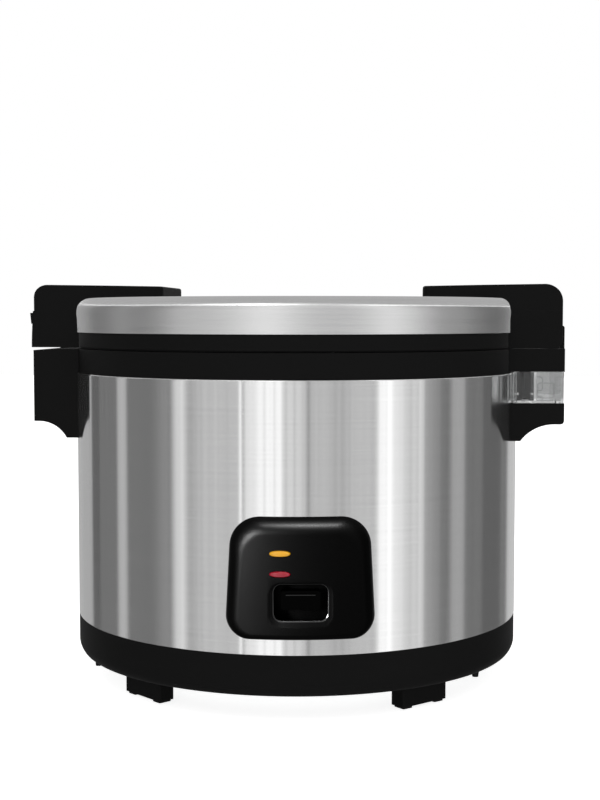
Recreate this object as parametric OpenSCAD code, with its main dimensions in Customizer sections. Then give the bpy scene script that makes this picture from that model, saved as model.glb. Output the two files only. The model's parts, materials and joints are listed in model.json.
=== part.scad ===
// Large rice cooker with a hinged lid. A sprung latch on the left holds the lid, the hinge on the
// right stands over a clear cup that collects the water running off the lid, and a lever switch in
// the front panel lifts a magnet under the pot.
// Origin on the drum's axis at floor level. +X points to the hinge, -Y to the front, +Z up.

/* [Drum] */
// Space between the pot's side and the drum's outside
drum_gap = 30; // [27:0.5:36]
// Height of the drum between the base and the upper ring
drum_h = 211.8; // [205:0.1:225]
// Thickness of the steel sheet of the drum and the lid
sheet_t = 0.8; // [0.6:0.1:1.2]
// Radius of the rolled bead along the drum's top edge
bead_r = 1.2; // [0.9:0.1:1.8]

/* [Base] */
// Height of the feet
foot_h = 21; // [16:0.5:30]
// Length of a foot along the rim
foot_l = 39; // [30:1:46]
// Depth of a foot towards the middle
foot_d = 15; // [12:0.5:18]
// Distance from the axis to a foot's outer face
foot_reach = 175; // [168:0.5:178]
// Angle between the front and each front foot
foot_az = 43; // [38:1:50]
// Height that the rubber pads stand below a foot
pad_h = 2; // [1.5:0.1:3]
// Height of the black base ring
base_h = 33.2; // [28:0.1:40]
// Height of the curved lower edge of the base ring
base_curve_h = 10; // [8:0.5:15]
// How far the lower edge of the base ring draws in
base_curve_in = 4.3; // [2.5:0.1:6]
// Wall thickness of the moulded plastic pieces
wall = 3; // [2.4:0.1:3.4]
// Distance from the feet to the round opening in the base floor
foot_gap = 20; // [16:1:28]

/* [Upper ring] */
// Height of the black ring on top of the drum
ring_h = 20.5; // [18:0.1:24]
// How far the black rings stand back from the steel
ring_step = 1.4; // [1:0.1:2]
// Width of the gutter that catches water round the pot
gutter_w = 5; // [3:0.5:7]

/* [Pot] */
// Outside radius of the pot
pot_r = 165; // [158:0.5:167]
// Wall thickness of the pot
pot_t = 2.5; // [2:0.1:3.2]
// Height of the pot's bottom above the drum's lower edge, the room for the plate and the switch
under_h = 45.8; // [42:0.2:60]
// Radius of the rounded edge at the pot's bottom
pot_edge_r = 24; // [16:1:30]
// Width of the pot's rim
rim_w = 10; // [8:0.5:11]

/* [Heating plate and thermostat] */
// Radius of the cast heating plate
plate_r = 116; // [105:1:122]
// Thickness of the heating plate
plate_t = 12; // [10:0.5:14]
// Radius of the tubular element cast into the plate
element_r = 5; // [4:0.2:6]
// Radius of the sensor cap in the middle of the plate
sensor_r = 15.5; // [13:0.5:18]
// Travel of the magnet up to the ferrite
magnet_travel = 8.4; // [7:0.1:9.5]
// Radius of the magnet and the ferrite
magnet_r = 10; // [8:0.5:11]
// Radius of the pull rod
rod_r = 2.5; // [2:0.1:3]

/* [Lid] */
// Gap between the upper ring and the lid ring
lid_gap = 1.5; // [1:0.1:2.5]
// Height of the black lid ring
lid_ring_h = 12.5; // [10:0.1:15]
// Height of the steel lid cap up to its rim
cap_h = 29.4; // [26:0.1:34]
// Radius of the lid cap's upper edge
cap_edge_r = 9; // [6:0.5:12]
// Rise of the lid's top from the rim to the middle
dome_h = 1.6; // [1:0.1:3]
// Radius of the steam vent's cap
vent_r = 21; // [18:0.5:26]

/* [Handles] */
// Width of the handle blocks along the rim
handle_w = 116; // [104:1:124]
// Reach of the left body handle beyond the drum
left_reach = 31.1; // [28:0.1:34]
// Reach of the right body handle beyond the drum
right_reach = 37.5; // [36:0.1:42]
// Height of the left body handle's flat bottom above the drum's lower edge
grip_z = 154.5; // [148:0.5:160]
// Height from a grip's flat bottom to its outer lower edge
grip_rise = 14.4; // [12:0.2:18]
// Radius of the hollow under a grip
grip_r = 27.4; // [24:0.2:32]

/* [Lid arms] */
// Reach of the left arm beyond the drum at its top
arm_left_reach = 30.2; // [27:0.1:32]
// Reach of the right arm beyond the drum
arm_right_reach = 35.6; // [34:0.1:36]
// Height of an arm's top above the lid's rim
arm_up = 12; // [9:0.1:14]
// Distance from the axis to an arm's inner end
arm_in = 112.5; // [100:0.5:125]
// Width of an arm at its inner end
arm_tip_w = 100; // [88:1:104]
// Fall of an arm's top towards its inner end
arm_fall = 1.6; // [0.8:0.1:2.4]
// Radius of an arm's upper outer corner
arm_corner_r = 13; // [10:0.5:16]
// Radius of the outer top corner of the arm at the hinge
hinge_corner_r = 15.5; // [10:0.5:16]
// Height of the parting line below an arm's top
arm_split = 22.8; // [21:0.1:24]

/* [Hinge] */
// Radius of the hinge pin
pin_r = 3; // [2.5:0.1:3.5]
// Radius of the arm's rounded lower corner about the hinge pin
cheek_r = 7.6; // [6.8:0.1:8.6]
// Thickness of the arm's cheeks, which turn on the pin
cheek_t = 7.7; // [6:0.1:9]
// Radius of the hinge ears on the body
ear_r = 5.4; // [4.8:0.1:6]
// Height of the hinge seam above the drum's top
seam_up = 21.25; // [20.6:0.05:21.5]
// Height of the hinge housing's outer wall above the pin
wall_up = 11.6; // [9:0.1:13]
// Radius of the upper edge of that wall
wall_edge_r = 2; // [1:0.1:2.4]

/* [Latch] */
// Width of the latch tab along the rim
tab_w = 44; // [30:1:60]
// Height of the latch tab
tab_h = 8.2; // [6:0.1:9]
// Radius of the latch pin
latch_pin_r = 2; // [1.6:0.1:2.4]
// Width of the latch hook along the rim
hook_w = 16; // [10:1:22]

/* [Water cup] */
// Height of the bay for the water cup
cup_bay_h = 27; // [22:0.5:30]
// Wall thickness of the water cup
cup_t = 2; // [1.6:0.1:2.6]

/* [Control panel] */
// Angle between the front and the panel
panel_az = 6; // [0:0.5:10]
// Width of the panel at its bottom
panel_w = 117; // [108:1:124]
// Width of the panel at its top
panel_top_w = 107; // [98:1:112]
// Radius of the panel's lower corners
panel_low_r = 17; // [10:0.5:24]
// Radius of the panel's upper corners
panel_top_r = 24; // [12:0.5:28]
// Height of the panel
panel_h = 96.1; // [92:0.1:104]
// Height of the panel's bottom above the drum's lower edge
panel_up = 13.3; // [10:0.1:20]
// How far the panel stands proud of the drum
panel_bulge = 9; // [7:0.5:12]
// Width of a lamp lens
lens_w = 16.3; // [14:0.1:19]
// Height of a lamp lens
lens_h = 5.1; // [4.4:0.1:6]
// Distance of the lenses to the left of the panel's middle
lens_left = 15.8; // [12:0.1:22]
// Width of the switch pocket
pocket_w = 44; // [40:0.5:50]
// Height of the switch pocket
pocket_h = 33.2; // [32:0.1:38]
// Height of the pocket's bottom above the panel's bottom
pocket_up = 10.4; // [8:0.1:14]
// Width of the switch key
key_w = 30.5; // [26:0.5:34]
// Height of the switch key
key_h = 14.6; // [12:0.1:16]

/* [Hidden] */
$fn = 96;

// Clearances
run_gap = 0.3;   // between pieces that move past each other
pin_gap = 0.06;  // round a pin in its running bore
fit_gap = 0.02;  // round a pin or a screw in a bore that holds it

// Heights above the floor
base_z = foot_h;
drum_z = base_z + base_h;
drum_top = drum_z + drum_h;
ring_top = drum_top + ring_h;
lid_z = ring_top + lid_gap;
cap_z = lid_z + lid_ring_h;
lid_rim = cap_z + cap_h;
lid_top = lid_rim + dome_h;
arm_top = lid_rim + arm_up;
arm_line = arm_top - arm_split;

// Radii
drum_r = pot_r + drum_gap;
base_r = drum_r - 0.2;
base_hole_r = foot_reach - foot_d - foot_gap;
ring_r = drum_r - ring_step;
drum_in = drum_r - sheet_t;
lip_r = drum_in - run_gap;          // collars that stand inside the steel
collar_t = 2.4;                     // thickness of those collars
well_r = pot_r + 4;                 // inside of the inner shell
rim_r = pot_r + rim_w;
seat_r = rim_r + 2;                 // edge of the recess for the pot's rim

// Pot and heating plate
rim_z = ring_top - 3.5;             // underside of the pot's rim
pot_z = drum_z + under_h;
plate_z = pot_z - plate_t;
well_z = plate_z - 10;              // floor of the inner shell
core_z = pot_z - 8;                 // underside of the ferrite
magnet_t = 5;
sensor_travel = 2.5;                // how far the pot presses the sensor down
magnet_z = core_z - sensor_travel - run_gap - magnet_travel - magnet_t;
housing_h = 38;                     // sensor housing below the plate's top

// Panel and lamps
panel_z = drum_z + panel_up;
amber_z = panel_z + 67.1;
red_z = panel_z + 51.4;
pocket_z = panel_z + pocket_up;

// Lever under the heating plate, measured in the panel's own direction
lever_arm = 96;                     // from the rod to the pivot
lever_drop = 33.6;                  // from the pocket's bottom down to the lever
lever_z = pocket_z - lever_drop;    // underside of the lever
rod_end = lever_z - 4;
lever_t = 3;
pivot_z = lever_z + lever_t / 2;
switch_pin_r = 1.6;
key_z = pocket_z + pocket_h - 6 - key_h;
key_depth = 10;
key_r = drum_r - 7;                 // back of the key
pocket_r = key_r - 8;               // back of the switch pocket
lever_up = well_r + 2.4;            // where the lever turns up beside the well
lever_w = 14;
bracket_w = 22;                     // width of the lever's bracket
bracket_lap = 14;                   // its reach past the opening in the base floor

// Base screws and bottom cover
screw_az = 58.5;                    // a base screw's angle from the front
screw_reach = base_r - 10;
cover_angles = [15 : 60 : 315];
cover_screw_r = base_hole_r + 5;

// Power inlet
inlet_w = 52;                       // width of its plate
inlet_h = 44;
inlet_z = drum_z + 26;              // bottom of its body

// Hinge and cup
arm_right_x = drum_r + arm_right_reach;
pin_x = arm_right_x - cheek_r;
seam_z = drum_top + seam_up;
pin_z = seam_z + run_gap / 2 + cheek_r;
right_x = drum_r + right_reach;
wall_in = pin_x + ear_r + run_gap;
// The lid turns clear of the outer wall's rounded top inside this radius about the pin
sweep_r = norm([right_x - pin_x - wall_edge_r, wall_up - wall_edge_r]) + wall_edge_r + 2 * run_gap;
bay_top = drum_top + 1.6;
bay_z = bay_top - cup_bay_h;
grip_floor = drum_z + grip_z;
bay_half = handle_w / 2 - cheek_t;  // half of the hinge bay between the arm's cheeks
ear_t = 9;                          // thickness of the hinge ears
spring_l = 24;                      // length of a hinge spring

// Latch
left_x = drum_r + left_reach;
latch_x = drum_r + 17.5;
latch_z = lid_z + 15;
hook_z = lid_z - 12;
latch_t = 4.4;                      // thickness of the latch lever
nose_in = 5.7;                      // reach of the hook's nose from the lever's middle
strike_x = latch_x - nose_in - run_gap;
strike_d = 7;                       // depth of the strike plate
strike_z = hook_z + 5;
tab_mid = latch_z + 9.6;
latch_half = hook_w / 2;

// Left handle and arm
left_top = seam_z - 1;              // top of the left handle at the drum
left_low = left_top + 1.3;          // underside of the left arm block
arm_left_low = drum_r + arm_left_reach + 0.3;

// Screws from inside the body into the handles and the hinge housing: side, Y and height
screw_hole_r = 2.2;
screw_places = [for (y = [-40, 40]) each [
    [-1, y, drum_top - 20], [-1, y, grip_floor + 12], [1, y, ring_top - 8], [1, y, bay_z - 19.9]]];

// Heat round the pot
warm_up = 60;                       // height of the band heater above the pot's bottom
warm_h = 35;                        // height of the band heater
warm_gap = 12;                      // gap between its ends
wool_t = 10;                        // thickness of the insulation
wool_low = 26;                      // its distance below the drum's top

// Lid
vent_tube_r = 12;
plate_low = lid_z - 1.1;            // underside of the inner lid

// ---------------------------------------------------------------- outlines and helpers

function unit(v) = v / norm(v);
function before(p, i) = p[(i + len(p) - 1) % len(p)];
function after(p, i) = p[(i + 1) % len(p)];
// Half of the angle inside corner i of outline p
function half_angle(p, i) = acos(unit(before(p, i) - p[i]) * unit(after(p, i) - p[i])) / 2;
function arc_centre(p, i, r) =
    p[i] + unit(unit(before(p, i) - p[i]) + unit(after(p, i) - p[i])) * r / sin(half_angle(p, i));
function touch(p, i, q, r) = p[i] + unit(q - p[i]) * r / tan(half_angle(p, i));

// Convex outline whose corner i has the radius r[i]; 0 leaves it sharp
module rounded(p, r) {
    polygon([for (i = [0 : len(p) - 1], q = [before(p, i), after(p, i)])
        r[i] > 0 ? touch(p, i, q, r[i]) : p[i]]);
    for (i = [0 : len(p) - 1]) if (r[i] > 0)
        translate(arc_centre(p, i, r[i])) circle(r[i]);
}

// Points of the shorter arc about c from a to b
function arc_points(c, a, b, steps) =
    let (from = atan2(a[1] - c[1], a[0] - c[0]), turn = atan2(b[1] - c[1], b[0] - c[0]) - from,
         short = (turn + 540) % 360 - 180)
    [for (k = [0 : steps]) let (t = from + short * k / steps) c + norm(a - c) * [cos(t), sin(t)]];

// Convex outline with slanted sides whose corner i has the radius r[i], as one polygon
module smooth_outline(p, r) {
    polygon([for (i = [0 : len(p) - 1]) each arc_points(arc_centre(p, i, r[i]),
        touch(p, i, before(p, i), r[i]), touch(p, i, after(p, i), r[i]), 10)]);
}

module rounded_box(w, h, r) {
    rounded([[-w / 2, 0], [w / 2, 0], [w / 2, h], [-w / 2, h]], [r, r, r, r]);
}

// Ring about the axis between two radii and two heights
module ring(r_in, r_out, z0, z1) {
    translate([0, 0, z0]) difference() {
        cylinder(r = r_out, h = z1 - z0);
        translate([0, 0, -1]) cylinder(r = r_in, h = z1 - z0 + 2);
    }
}

// Ring section in the plane of radius and height
module strip(r_in, r_out, z0, z1) {
    translate([r_in, z0]) square([r_out - r_in, z1 - z0]);
}

// Extrudes an outline in X and Z along Y, centred, w wide
module along_y(w) {
    rotate([90, 0, 0]) linear_extrude(w, center = true) children();
}

// Stands the children at the panel's azimuth
module at_panel() {
    rotate([0, 0, panel_az]) children();
}

// Cylinder along X
module rod_x(r, x0, x1, y, z) {
    translate([x0, y, z]) rotate([0, 90, 0]) cylinder(r = r, h = x1 - x0);
}

// Cylinder along Y
module rod_y(r, y0, y1, x, z) {
    translate([x, y0, z]) rotate([-90, 0, 0]) cylinder(r = r, h = y1 - y0);
}

// Coil spring about Z from z = 0, closed by its own thickness at both ends
module coil(r, wire, h, turns) {
    sides = 8;
    steps = 16;
    n = turns * steps;
    points = [for (i = [0 : n], k = [0 : sides - 1])
        let (a = i * 360 / steps, b = k * 360 / sides, q = r + wire * cos(b))
        [q * cos(a), q * sin(a), wire + (h - 2 * wire) * i / n + wire * sin(b)]];
    quads = [for (i = [0 : n - 1], k = [0 : sides - 1])
        let (m = (k + 1) % sides)
        [i * sides + k, i * sides + m, (i + 1) * sides + m, (i + 1) * sides + k]];
    ends = [[for (k = [sides - 1 : -1 : 0]) k], [for (k = [0 : sides - 1]) n * sides + k]];
    polyhedron(points, concat(quads, ends), convexity = 10);
}

// Pan-head screw with its head's top at z = 0, pointing down
module screw(head_r, head_h, shank_r, shank_h) {
    difference() {
        translate([0, 0, -head_h]) cylinder(r1 = head_r, r2 = head_r * 0.8, h = head_h);
        for (a = [0, 90]) rotate([0, 0, a])
            translate([-head_r / 2, -0.4, -head_h / 2]) cube([head_r, 0.8, head_h]);
    }
    translate([0, 0, -head_h - shank_h]) cylinder(r = shank_r, h = shank_h);
}

// What the drum, the rings and the lid fill: no handle reaches inside it
module body_core() {
    cylinder(r = drum_r, h = drum_top);
    cylinder(r = ring_r, h = ring_top);
    cylinder(r = ring_r + run_gap, h = ring_top + 40);
}

// Outline of the lid's cap, drawn in by inset and open at the bottom
module cap_outline(inset) {
    r = drum_r - inset;
    low = cap_z - sign(inset);
    rounded([[0, low], [r, low], [r, lid_rim - inset], [0, lid_top - inset]],
            [0, 0, cap_edge_r - inset, 0]);
}

module lid_core() {
    rotate_extrude() cap_outline(0);
    translate([0, 0, lid_z - 2]) cylinder(r = ring_r, h = lid_ring_h + 3);
}

// ---------------------------------------------------------------- base

module base_outline(inset) {
    curve_r = (base_curve_in ^ 2 + base_curve_h ^ 2) / (2 * base_curve_in);
    bend_z = base_z + base_curve_h;
    strip(0, base_r - inset, bend_z, drum_z);
    intersection() {
        translate([base_r - curve_r, bend_z]) circle(curve_r - inset);
        strip(base_r - curve_r, base_r, base_z + inset, bend_z + 1);
    }
    strip(0, base_r - curve_r, base_z + inset, bend_z + 1);
}

module base_ring() {
    color("#161616") difference() {
        union() {
            rotate_extrude() difference() {
                base_outline(0);
                difference() {
                    base_outline(wall);
                    strip(drum_in - 12, drum_r, drum_z - wall, drum_z + 1);
                }
                strip(-1, base_hole_r, 0, drum_z + 1);
                strip(-1, lip_r - collar_t, drum_z - wall - 1, drum_z + 1);
            }
            ring(lip_r - collar_t, lip_r, drum_z - 1, drum_z + 8);
            for (a = [0 : 30 : 330]) rotate([0, 0, a + 15])
                translate([base_hole_r + 8, -1, base_z + wall - 0.5])
                    cube([base_r - base_hole_r - 14, 2, 8.5]);
        }
        for (a = [1 : 3]) rotate([0, 0, screw_az + 120 * a - 90])
            translate([screw_reach, 0, base_z - 1]) cylinder(r = 2, h = 12);
        for (a = cover_angles) rotate([0, 0, a])
            translate([cover_screw_r, 0, base_z - 1]) cylinder(r = 1.5, h = 8);
    }
}

module foot_places() {
    for (a = [foot_az, -foot_az, 180 - foot_az, 180 + foot_az])
        rotate([0, 0, a]) translate([0, -foot_reach, 0]) children();
}

// Two rubber pads let into one foot
module foot_pad() {
    for (s = [-1, 1]) translate([s * (foot_l / 2 - 7), 1.5, 0])
        linear_extrude(pad_h + 3) rounded_box(10, foot_d - 3, 1.5);
}

module feet() {
    color("#141414") foot_places() difference() {
        translate([0, 0, pad_h]) linear_extrude(foot_h - pad_h)
            rounded_box(foot_l, foot_d, 2);
        foot_pad();
        translate([0, foot_d / 2, pad_h - 1]) cylinder(r = 3.6, h = 8);
    }
}

module foot_pads() {
    color("#1c1c1c") foot_places() foot_pad();
}

module bottom_cover() {
    cover_r = base_hole_r + 10;
    color("silver") difference() {
        ring(12, cover_r, base_z - 1, base_z);
        for (k = [0 : 2], a = [0 : 20 : 340]) rotate([0, 0, a + 10 * k])
            translate([52 + 24 * k, 0, base_z - 2]) linear_extrude(3)
                translate([0, -8 - 2 * k]) rounded_box(6, 16 + 4 * k, 2.9);
        for (a = cover_angles) rotate([0, 0, a])
            translate([cover_screw_r, 0, base_z - 2]) cylinder(r = 1.6, h = 4);
    }
    color("silver") ring(0, 12.5, base_z - 1, base_z);
}

module base_screws() {
    color("#2a2a2a") for (a = [1 : 3]) rotate([0, 0, screw_az + 120 * a - 90])
        translate([screw_reach, 0, base_z - 5.2]) rotate([180, 0, 0]) screw(3.2, 5.2, 1.8, 9);
}

module cover_screws() {
    color("silver") for (a = cover_angles) rotate([0, 0, a])
        translate([cover_screw_r, 0, base_z - 3]) rotate([180, 0, 0]) screw(2.8, 2, 1.3, 6);
}

// ---------------------------------------------------------------- drum, rings and well

module panel_hole() {
    at_panel() translate([0, -drum_r + 20, panel_z + 5]) rotate([90, 0, 0])
        linear_extrude(40) rounded_box(panel_top_w - 33, panel_h - 22, 6);
}

module inlet_hole() {
    translate([0, drum_r - 18, inlet_z]) rotate([-90, 0, 0]) mirror([0, 1, 0])
        linear_extrude(36) rounded_box(inlet_w - 12, inlet_h - 12, 2);
}

module outer_shell() {
    color("#b9bbbd") difference() {
        rotate_extrude() {
            strip(drum_in, drum_r, drum_z, drum_top - bead_r);
            translate([drum_r - bead_r, drum_top - bead_r]) circle(bead_r);
        }
        panel_hole();
        inlet_hole();
        for (s = [-1, 1]) screw_holes(s);
    }
}

// Screw holes on one side of the body, 1 for the right and -1 for the left
module screw_holes(side) {
    for (p = screw_places) if (p[0] == side)
        mirror([side < 0 ? 1 : 0, 0, 0]) rod_x(screw_hole_r, drum_r - 30, drum_r + 4, p[1], p[2]);
}

module upper_ring() {
    color("#141414") difference() {
        rotate_extrude() {
            strip(ring_r - wall, ring_r, drum_top, ring_top);
            strip(seat_r, ring_r, ring_top - wall, ring_top);
            strip(well_r, seat_r + wall, rim_z - wall, rim_z);
            strip(seat_r, seat_r + wall, rim_z - wall, ring_top);
            strip(well_r + 1.1, well_r + 1.1 + collar_t, rim_z - 9, rim_z);
            strip(drum_in - 7, ring_r, drum_top, drum_top + wall);
            strip(drum_in - 7, drum_in - 7 + collar_t, drum_top - 8, drum_top + wall);
        }
        rotate_extrude() strip(seat_r + wall + 1, seat_r + wall + 1 + gutter_w,
                               ring_top - wall / 2, ring_top + 1);
        screw_holes(1);
    }
}

module inner_shell() {
    floor_r = sensor_r + 12;
    color("#c8c8c4") difference() {
        rotate_extrude() {
            strip(well_r, well_r + 0.8, well_z - 0.8, rim_z - wall);
            strip(floor_r, well_r + 0.8, well_z - 0.8, well_z);
        }
        at_terminals() translate([0, 0, well_z - 5]) cylinder(r = 5, h = 10);
    }
}

module insulation() {
    low = panel_z + panel_h;
    color("#d8cfa0") ring(well_r + 4, well_r + 4 + wool_t, low, drum_top - wool_low);
}

module side_heater() {
    color("#a9a9a2") difference() {
        ring(well_r + 0.8, well_r + 3.2, pot_z + warm_up, pot_z + warm_up + warm_h);
        rotate([0, 0, 90]) translate([well_r - 4, -warm_gap / 2, pot_z + warm_up - 1])
            cube([10, warm_gap, warm_h + 2]);
    }
}

// ---------------------------------------------------------------- heating plate and thermostat

module heating_plate() {
    hole_r = sensor_r + 1;
    color("#9b9d9e") difference() {
        union() {
            rotate_extrude() {
                rounded([[hole_r, plate_z + 4], [plate_r, plate_z + 4], [plate_r, pot_z],
                         [hole_r, pot_z]], [0, 1.5, 2.5, 0]);
                translate([plate_r * 0.68, plate_z + element_r]) circle(element_r);
                strip(hole_r, hole_r + 4, plate_z - 2, plate_z + 5);
            }
            for (a = [90, 210, 330]) rotate([0, 0, a])
                translate([plate_r - 12, 0, well_z]) cylinder(r = 5, h = plate_z + 5 - well_z);
        }
        for (a = [90, 210, 330]) rotate([0, 0, a])
            translate([plate_r - 12, 0, well_z - 1]) cylinder(r = 1.7, h = 9);
    }
}

module at_terminals() {
    for (s = [-1, 1]) rotate([0, 0, 250 + 12 * s]) translate([plate_r * 0.68, 0, 0]) children();
}

module heater_terminals() {
    color("#c9b26a") at_terminals() translate([0, 0, plate_z - 16]) {
        cylinder(r = 2.4, h = 16);
        translate([-0.4, -3.2, -9]) cube([0.8, 6.4, 9]);
    }
}

module sensor_cap() {
    top = pot_z - run_gap;
    color("#c4c6c8") rotate_extrude() {
        rounded([[0, top - 1.5], [sensor_r, top - 1.5], [sensor_r, top], [0, top]], [0, 0, 1, 0]);
        strip(sensor_r - 1.2, sensor_r, top - 18, top - 1.4);
    }
}

module sensor_ferrite() {
    color("#4a4440") ring(rod_r + 1, magnet_r, core_z, pot_z - run_gap - 1.5);
}

module sensor_housing() {
    in_r = sensor_r + 0.3;
    color("#8d8f90") difference() {
        rotate_extrude() {
            strip(in_r, in_r + 0.5, pot_z - housing_h, plate_z + 2);
            strip(rod_r + 1.2, in_r + 0.5, pot_z - housing_h - 1, pot_z - housing_h);
            strip(in_r, in_r + 10, plate_z - 3, plate_z - 2);
        }
        for (a = [0, 180]) rotate([0, 0, a + panel_az])
            translate([-3, -sensor_r - 2, pot_z - housing_h + 6]) cube([6, 6, 10]);
    }
}

module sensor_spring() {
    color("#b0b0b0") translate([0, 0, pot_z - housing_h])
        coil(sensor_r - 2.4, 0.7, housing_h - run_gap - 1.5, 6);
}

module pull_rod() {
    color("#c0c0c0") {
        translate([0, 0, rod_end - 6]) cylinder(r = rod_r, h = magnet_z - rod_end + 6);
        translate([0, 0, lever_z + lever_t + 1]) cylinder(r = rod_r + 3, h = 1.6);
        translate([0, 0, rod_end - 7.5]) cylinder(r = rod_r + 3, h = 1.6);
    }
}

module pull_magnet() {
    color("#3c3c40") translate([0, 0, magnet_z]) cylinder(r = magnet_r, h = magnet_t);
}

// ---------------------------------------------------------------- switch

module switch_lever() {
    slot_w = 2 * rod_r + 1.2;
    rise = key_z + key_h / 2 - lever_z;
    color("#a8aaab") at_panel() difference() {
        union() {
            rotate([90, 0, 90]) linear_extrude(lever_w, center = true) {
                translate([-lever_up - lever_t, lever_z]) square([lever_up + lever_t + 8, lever_t]);
                translate([-lever_up - lever_t, lever_z]) square([lever_t, rise + lever_t / 2]);
                translate([-key_r - 3, lever_z + rise - lever_t / 2])
                    square([key_r + 4 - lever_up, lever_t]);
                translate([-lever_arm, pivot_z]) circle(4.5);
            }
        }
        translate([-slot_w / 2, -4, lever_z - 1]) cube([slot_w, 20, lever_t + 2]);
        translate([-10, -lever_arm, pivot_z]) rotate([0, 90, 0])
            cylinder(r = switch_pin_r + pin_gap, h = 20);
    }
}

module switch_key() {
    lip = 1.2;
    color("#101010") at_panel() difference() {
        union() {
            translate([0, -key_r, key_z]) rotate([90, 0, 0]) linear_extrude(key_depth)
                rounded_box(key_w, key_h, 2);
            translate([-key_w / 2 + 3.7, -key_r - key_depth - lip, key_z + key_h - 3.2])
                cube([key_w - 7.4, lip + 1, 1.1]);
        }
        translate([-lever_w / 2, -key_r - 3, key_z + key_h / 2 - lever_t / 2])
            cube([lever_w, 4, lever_t]);
    }
}

module switch_pin() {
    color("#c0c0c0") at_panel() translate([-bracket_w / 2 - 2, -lever_arm, pivot_z])
        rotate([0, 90, 0]) cylinder(r = switch_pin_r, h = bracket_w + 4);
}

module switch_bracket() {
    ear_h = pivot_z + 6 - (base_z + wall);
    color("#9ea0a1") at_panel() difference() {
        union() {
            for (s = [-1, 1]) translate([s * (bracket_w / 2 - 1) - 1, -lever_arm - 8, base_z + wall])
                cube([2, 16, ear_h]);
            translate([-bracket_w / 2, -base_hole_r - bracket_lap, base_z + wall])
                cube([bracket_w, base_hole_r + bracket_lap - lever_arm + 8, 1.5]);
        }
        translate([-bracket_w / 2 - 4, -lever_arm, pivot_z]) rotate([0, 90, 0])
            cylinder(r = switch_pin_r + fit_gap, h = bracket_w + 8);
    }
}

module micro_switch() {
    seat = base_z + wall + 1.5;
    top = lever_z - 5;
    color("#1d1d1f") at_panel() {
        translate([-5.5, -lever_arm - 40, seat]) cube([11, 22, top - seat]);
        translate([-1.5, -lever_arm - 28, seat]) cube([3, 3, top + 1.2 - seat]);
    }
}

module thermal_fuse() {
    color("#d6d6d0") rotate([0, 0, 200]) translate([sensor_r + 22, 0, well_z - 4.4]) {
        rotate([0, 90, 0]) cylinder(r = 3.6, h = 26);
        for (x = [-3, 26]) translate([x, 0, 0]) rotate([0, 90, 0]) cylinder(r = 1, h = 3);
    }
}

module terminal_block() {
    color("#e6e3da") translate([-24, base_hole_r + 4, base_z + wall]) difference() {
        cube([48, 16, 14]);
        for (i = [0 : 2]) translate([8 + 16 * i, 8, 4]) cylinder(r = 3, h = 11);
    }
}

// ---------------------------------------------------------------- pot

module pot_outline(inset) {
    r = pot_r - inset;
    edge = pot_edge_r - inset;
    rounded([[0, pot_z + inset], [r, pot_z + inset], [r, rim_z + 9 * inset], [0, rim_z + 9 * inset]],
            [0, edge, 0, 0]);
}

module inner_pot() {
    color("#c9cacb") rotate_extrude() difference() {
        union() {
            pot_outline(0);
            strip(0, rim_r - pot_t / 2, rim_z, rim_z + pot_t);
            translate([rim_r - pot_t / 2, rim_z + pot_t / 2]) circle(pot_t / 2);
        }
        pot_outline(pot_t);
    }
}

// ---------------------------------------------------------------- control panel

// Outline of the panel in width and height, drawn in by inset
module panel_outline(inset) {
    w = panel_w / 2 - inset;
    t = panel_top_w / 2 - inset;
    low = panel_z + inset;
    high = panel_z + panel_h - inset;
    smooth_outline([[-w, low], [w, low], [t, high], [-t, high]],
                   [panel_low_r - inset, panel_low_r - inset, panel_top_r - inset, panel_top_r - inset]);
}

// Pillowed solid of the panel, drawn in by inset
module panel_form(inset) {
    r = drum_r + panel_bulge - inset;
    top_r = 14;
    low_r = 5;
    intersection() {
        translate([0, -drum_r + 40, 0]) rotate([90, 0, 0]) linear_extrude(60)
            panel_outline(inset);
        rotate_extrude() rounded([[drum_r - 30, panel_z + inset], [r, panel_z + inset],
            [r, panel_z + panel_h - inset], [drum_r - 30, panel_z + panel_h - inset]],
            [0, low_r, top_r, 0]);
    }
}

module lens_place(z) {
    translate([-lens_left, 0, z]) children();
}

// Oval prism through the panel
module lens_prism(z, grow, y0, y1) {
    lens_place(z) translate([0, y1, 0]) rotate([90, 0, 0]) linear_extrude(y1 - y0)
        translate([0, -lens_h / 2 - grow])
            rounded_box(lens_w + 2 * grow, lens_h + 2 * grow, lens_h / 2 + grow - 0.01);
}

module control_panel() {
    sleeve_r = drum_r + panel_bulge - 2;
    color("#0f0f10") at_panel() difference() {
        union() {
            difference() {
                panel_form(0);
                panel_form(wall);
                translate([0, 0, panel_z - 1]) cylinder(r = drum_r, h = panel_h + 2);
            }
            translate([0, -pocket_r, pocket_z - 2.5]) rotate([90, 0, 0])
                linear_extrude(sleeve_r - pocket_r) rounded_box(pocket_w + 5, pocket_h + 5, 8);
            for (z = [amber_z, red_z]) lens_prism(z, 2, -sleeve_r, -drum_r + 4);
        }
        translate([0, -pocket_r - 2, pocket_z]) rotate([90, 0, 0])
            linear_extrude(60) rounded_box(pocket_w, pocket_h, 6);
        translate([-lever_w / 2 - 1.5, -pocket_r - 3, pocket_z + 3])
            cube([lever_w + 3, 6, pocket_h - 6]);
        for (z = [amber_z, red_z]) lens_prism(z, 0, -drum_r - 20, -drum_r + 10);
    }
}

// Lens with a crowned face, standing slightly proud of the panel
module lens(z) {
    intersection() {
        lens_prism(z, 0, -drum_r - 20, -drum_r + 2);
        translate([0, 0, z - 10]) cylinder(r = drum_r + panel_bulge + 0.8, h = 20);
    }
}

module keep_warm_lens() {
    color("#f2b01e") at_panel() lens(amber_z);
}

module cooking_lens() {
    color("#b4122c") at_panel() lens(red_z);
}

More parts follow.
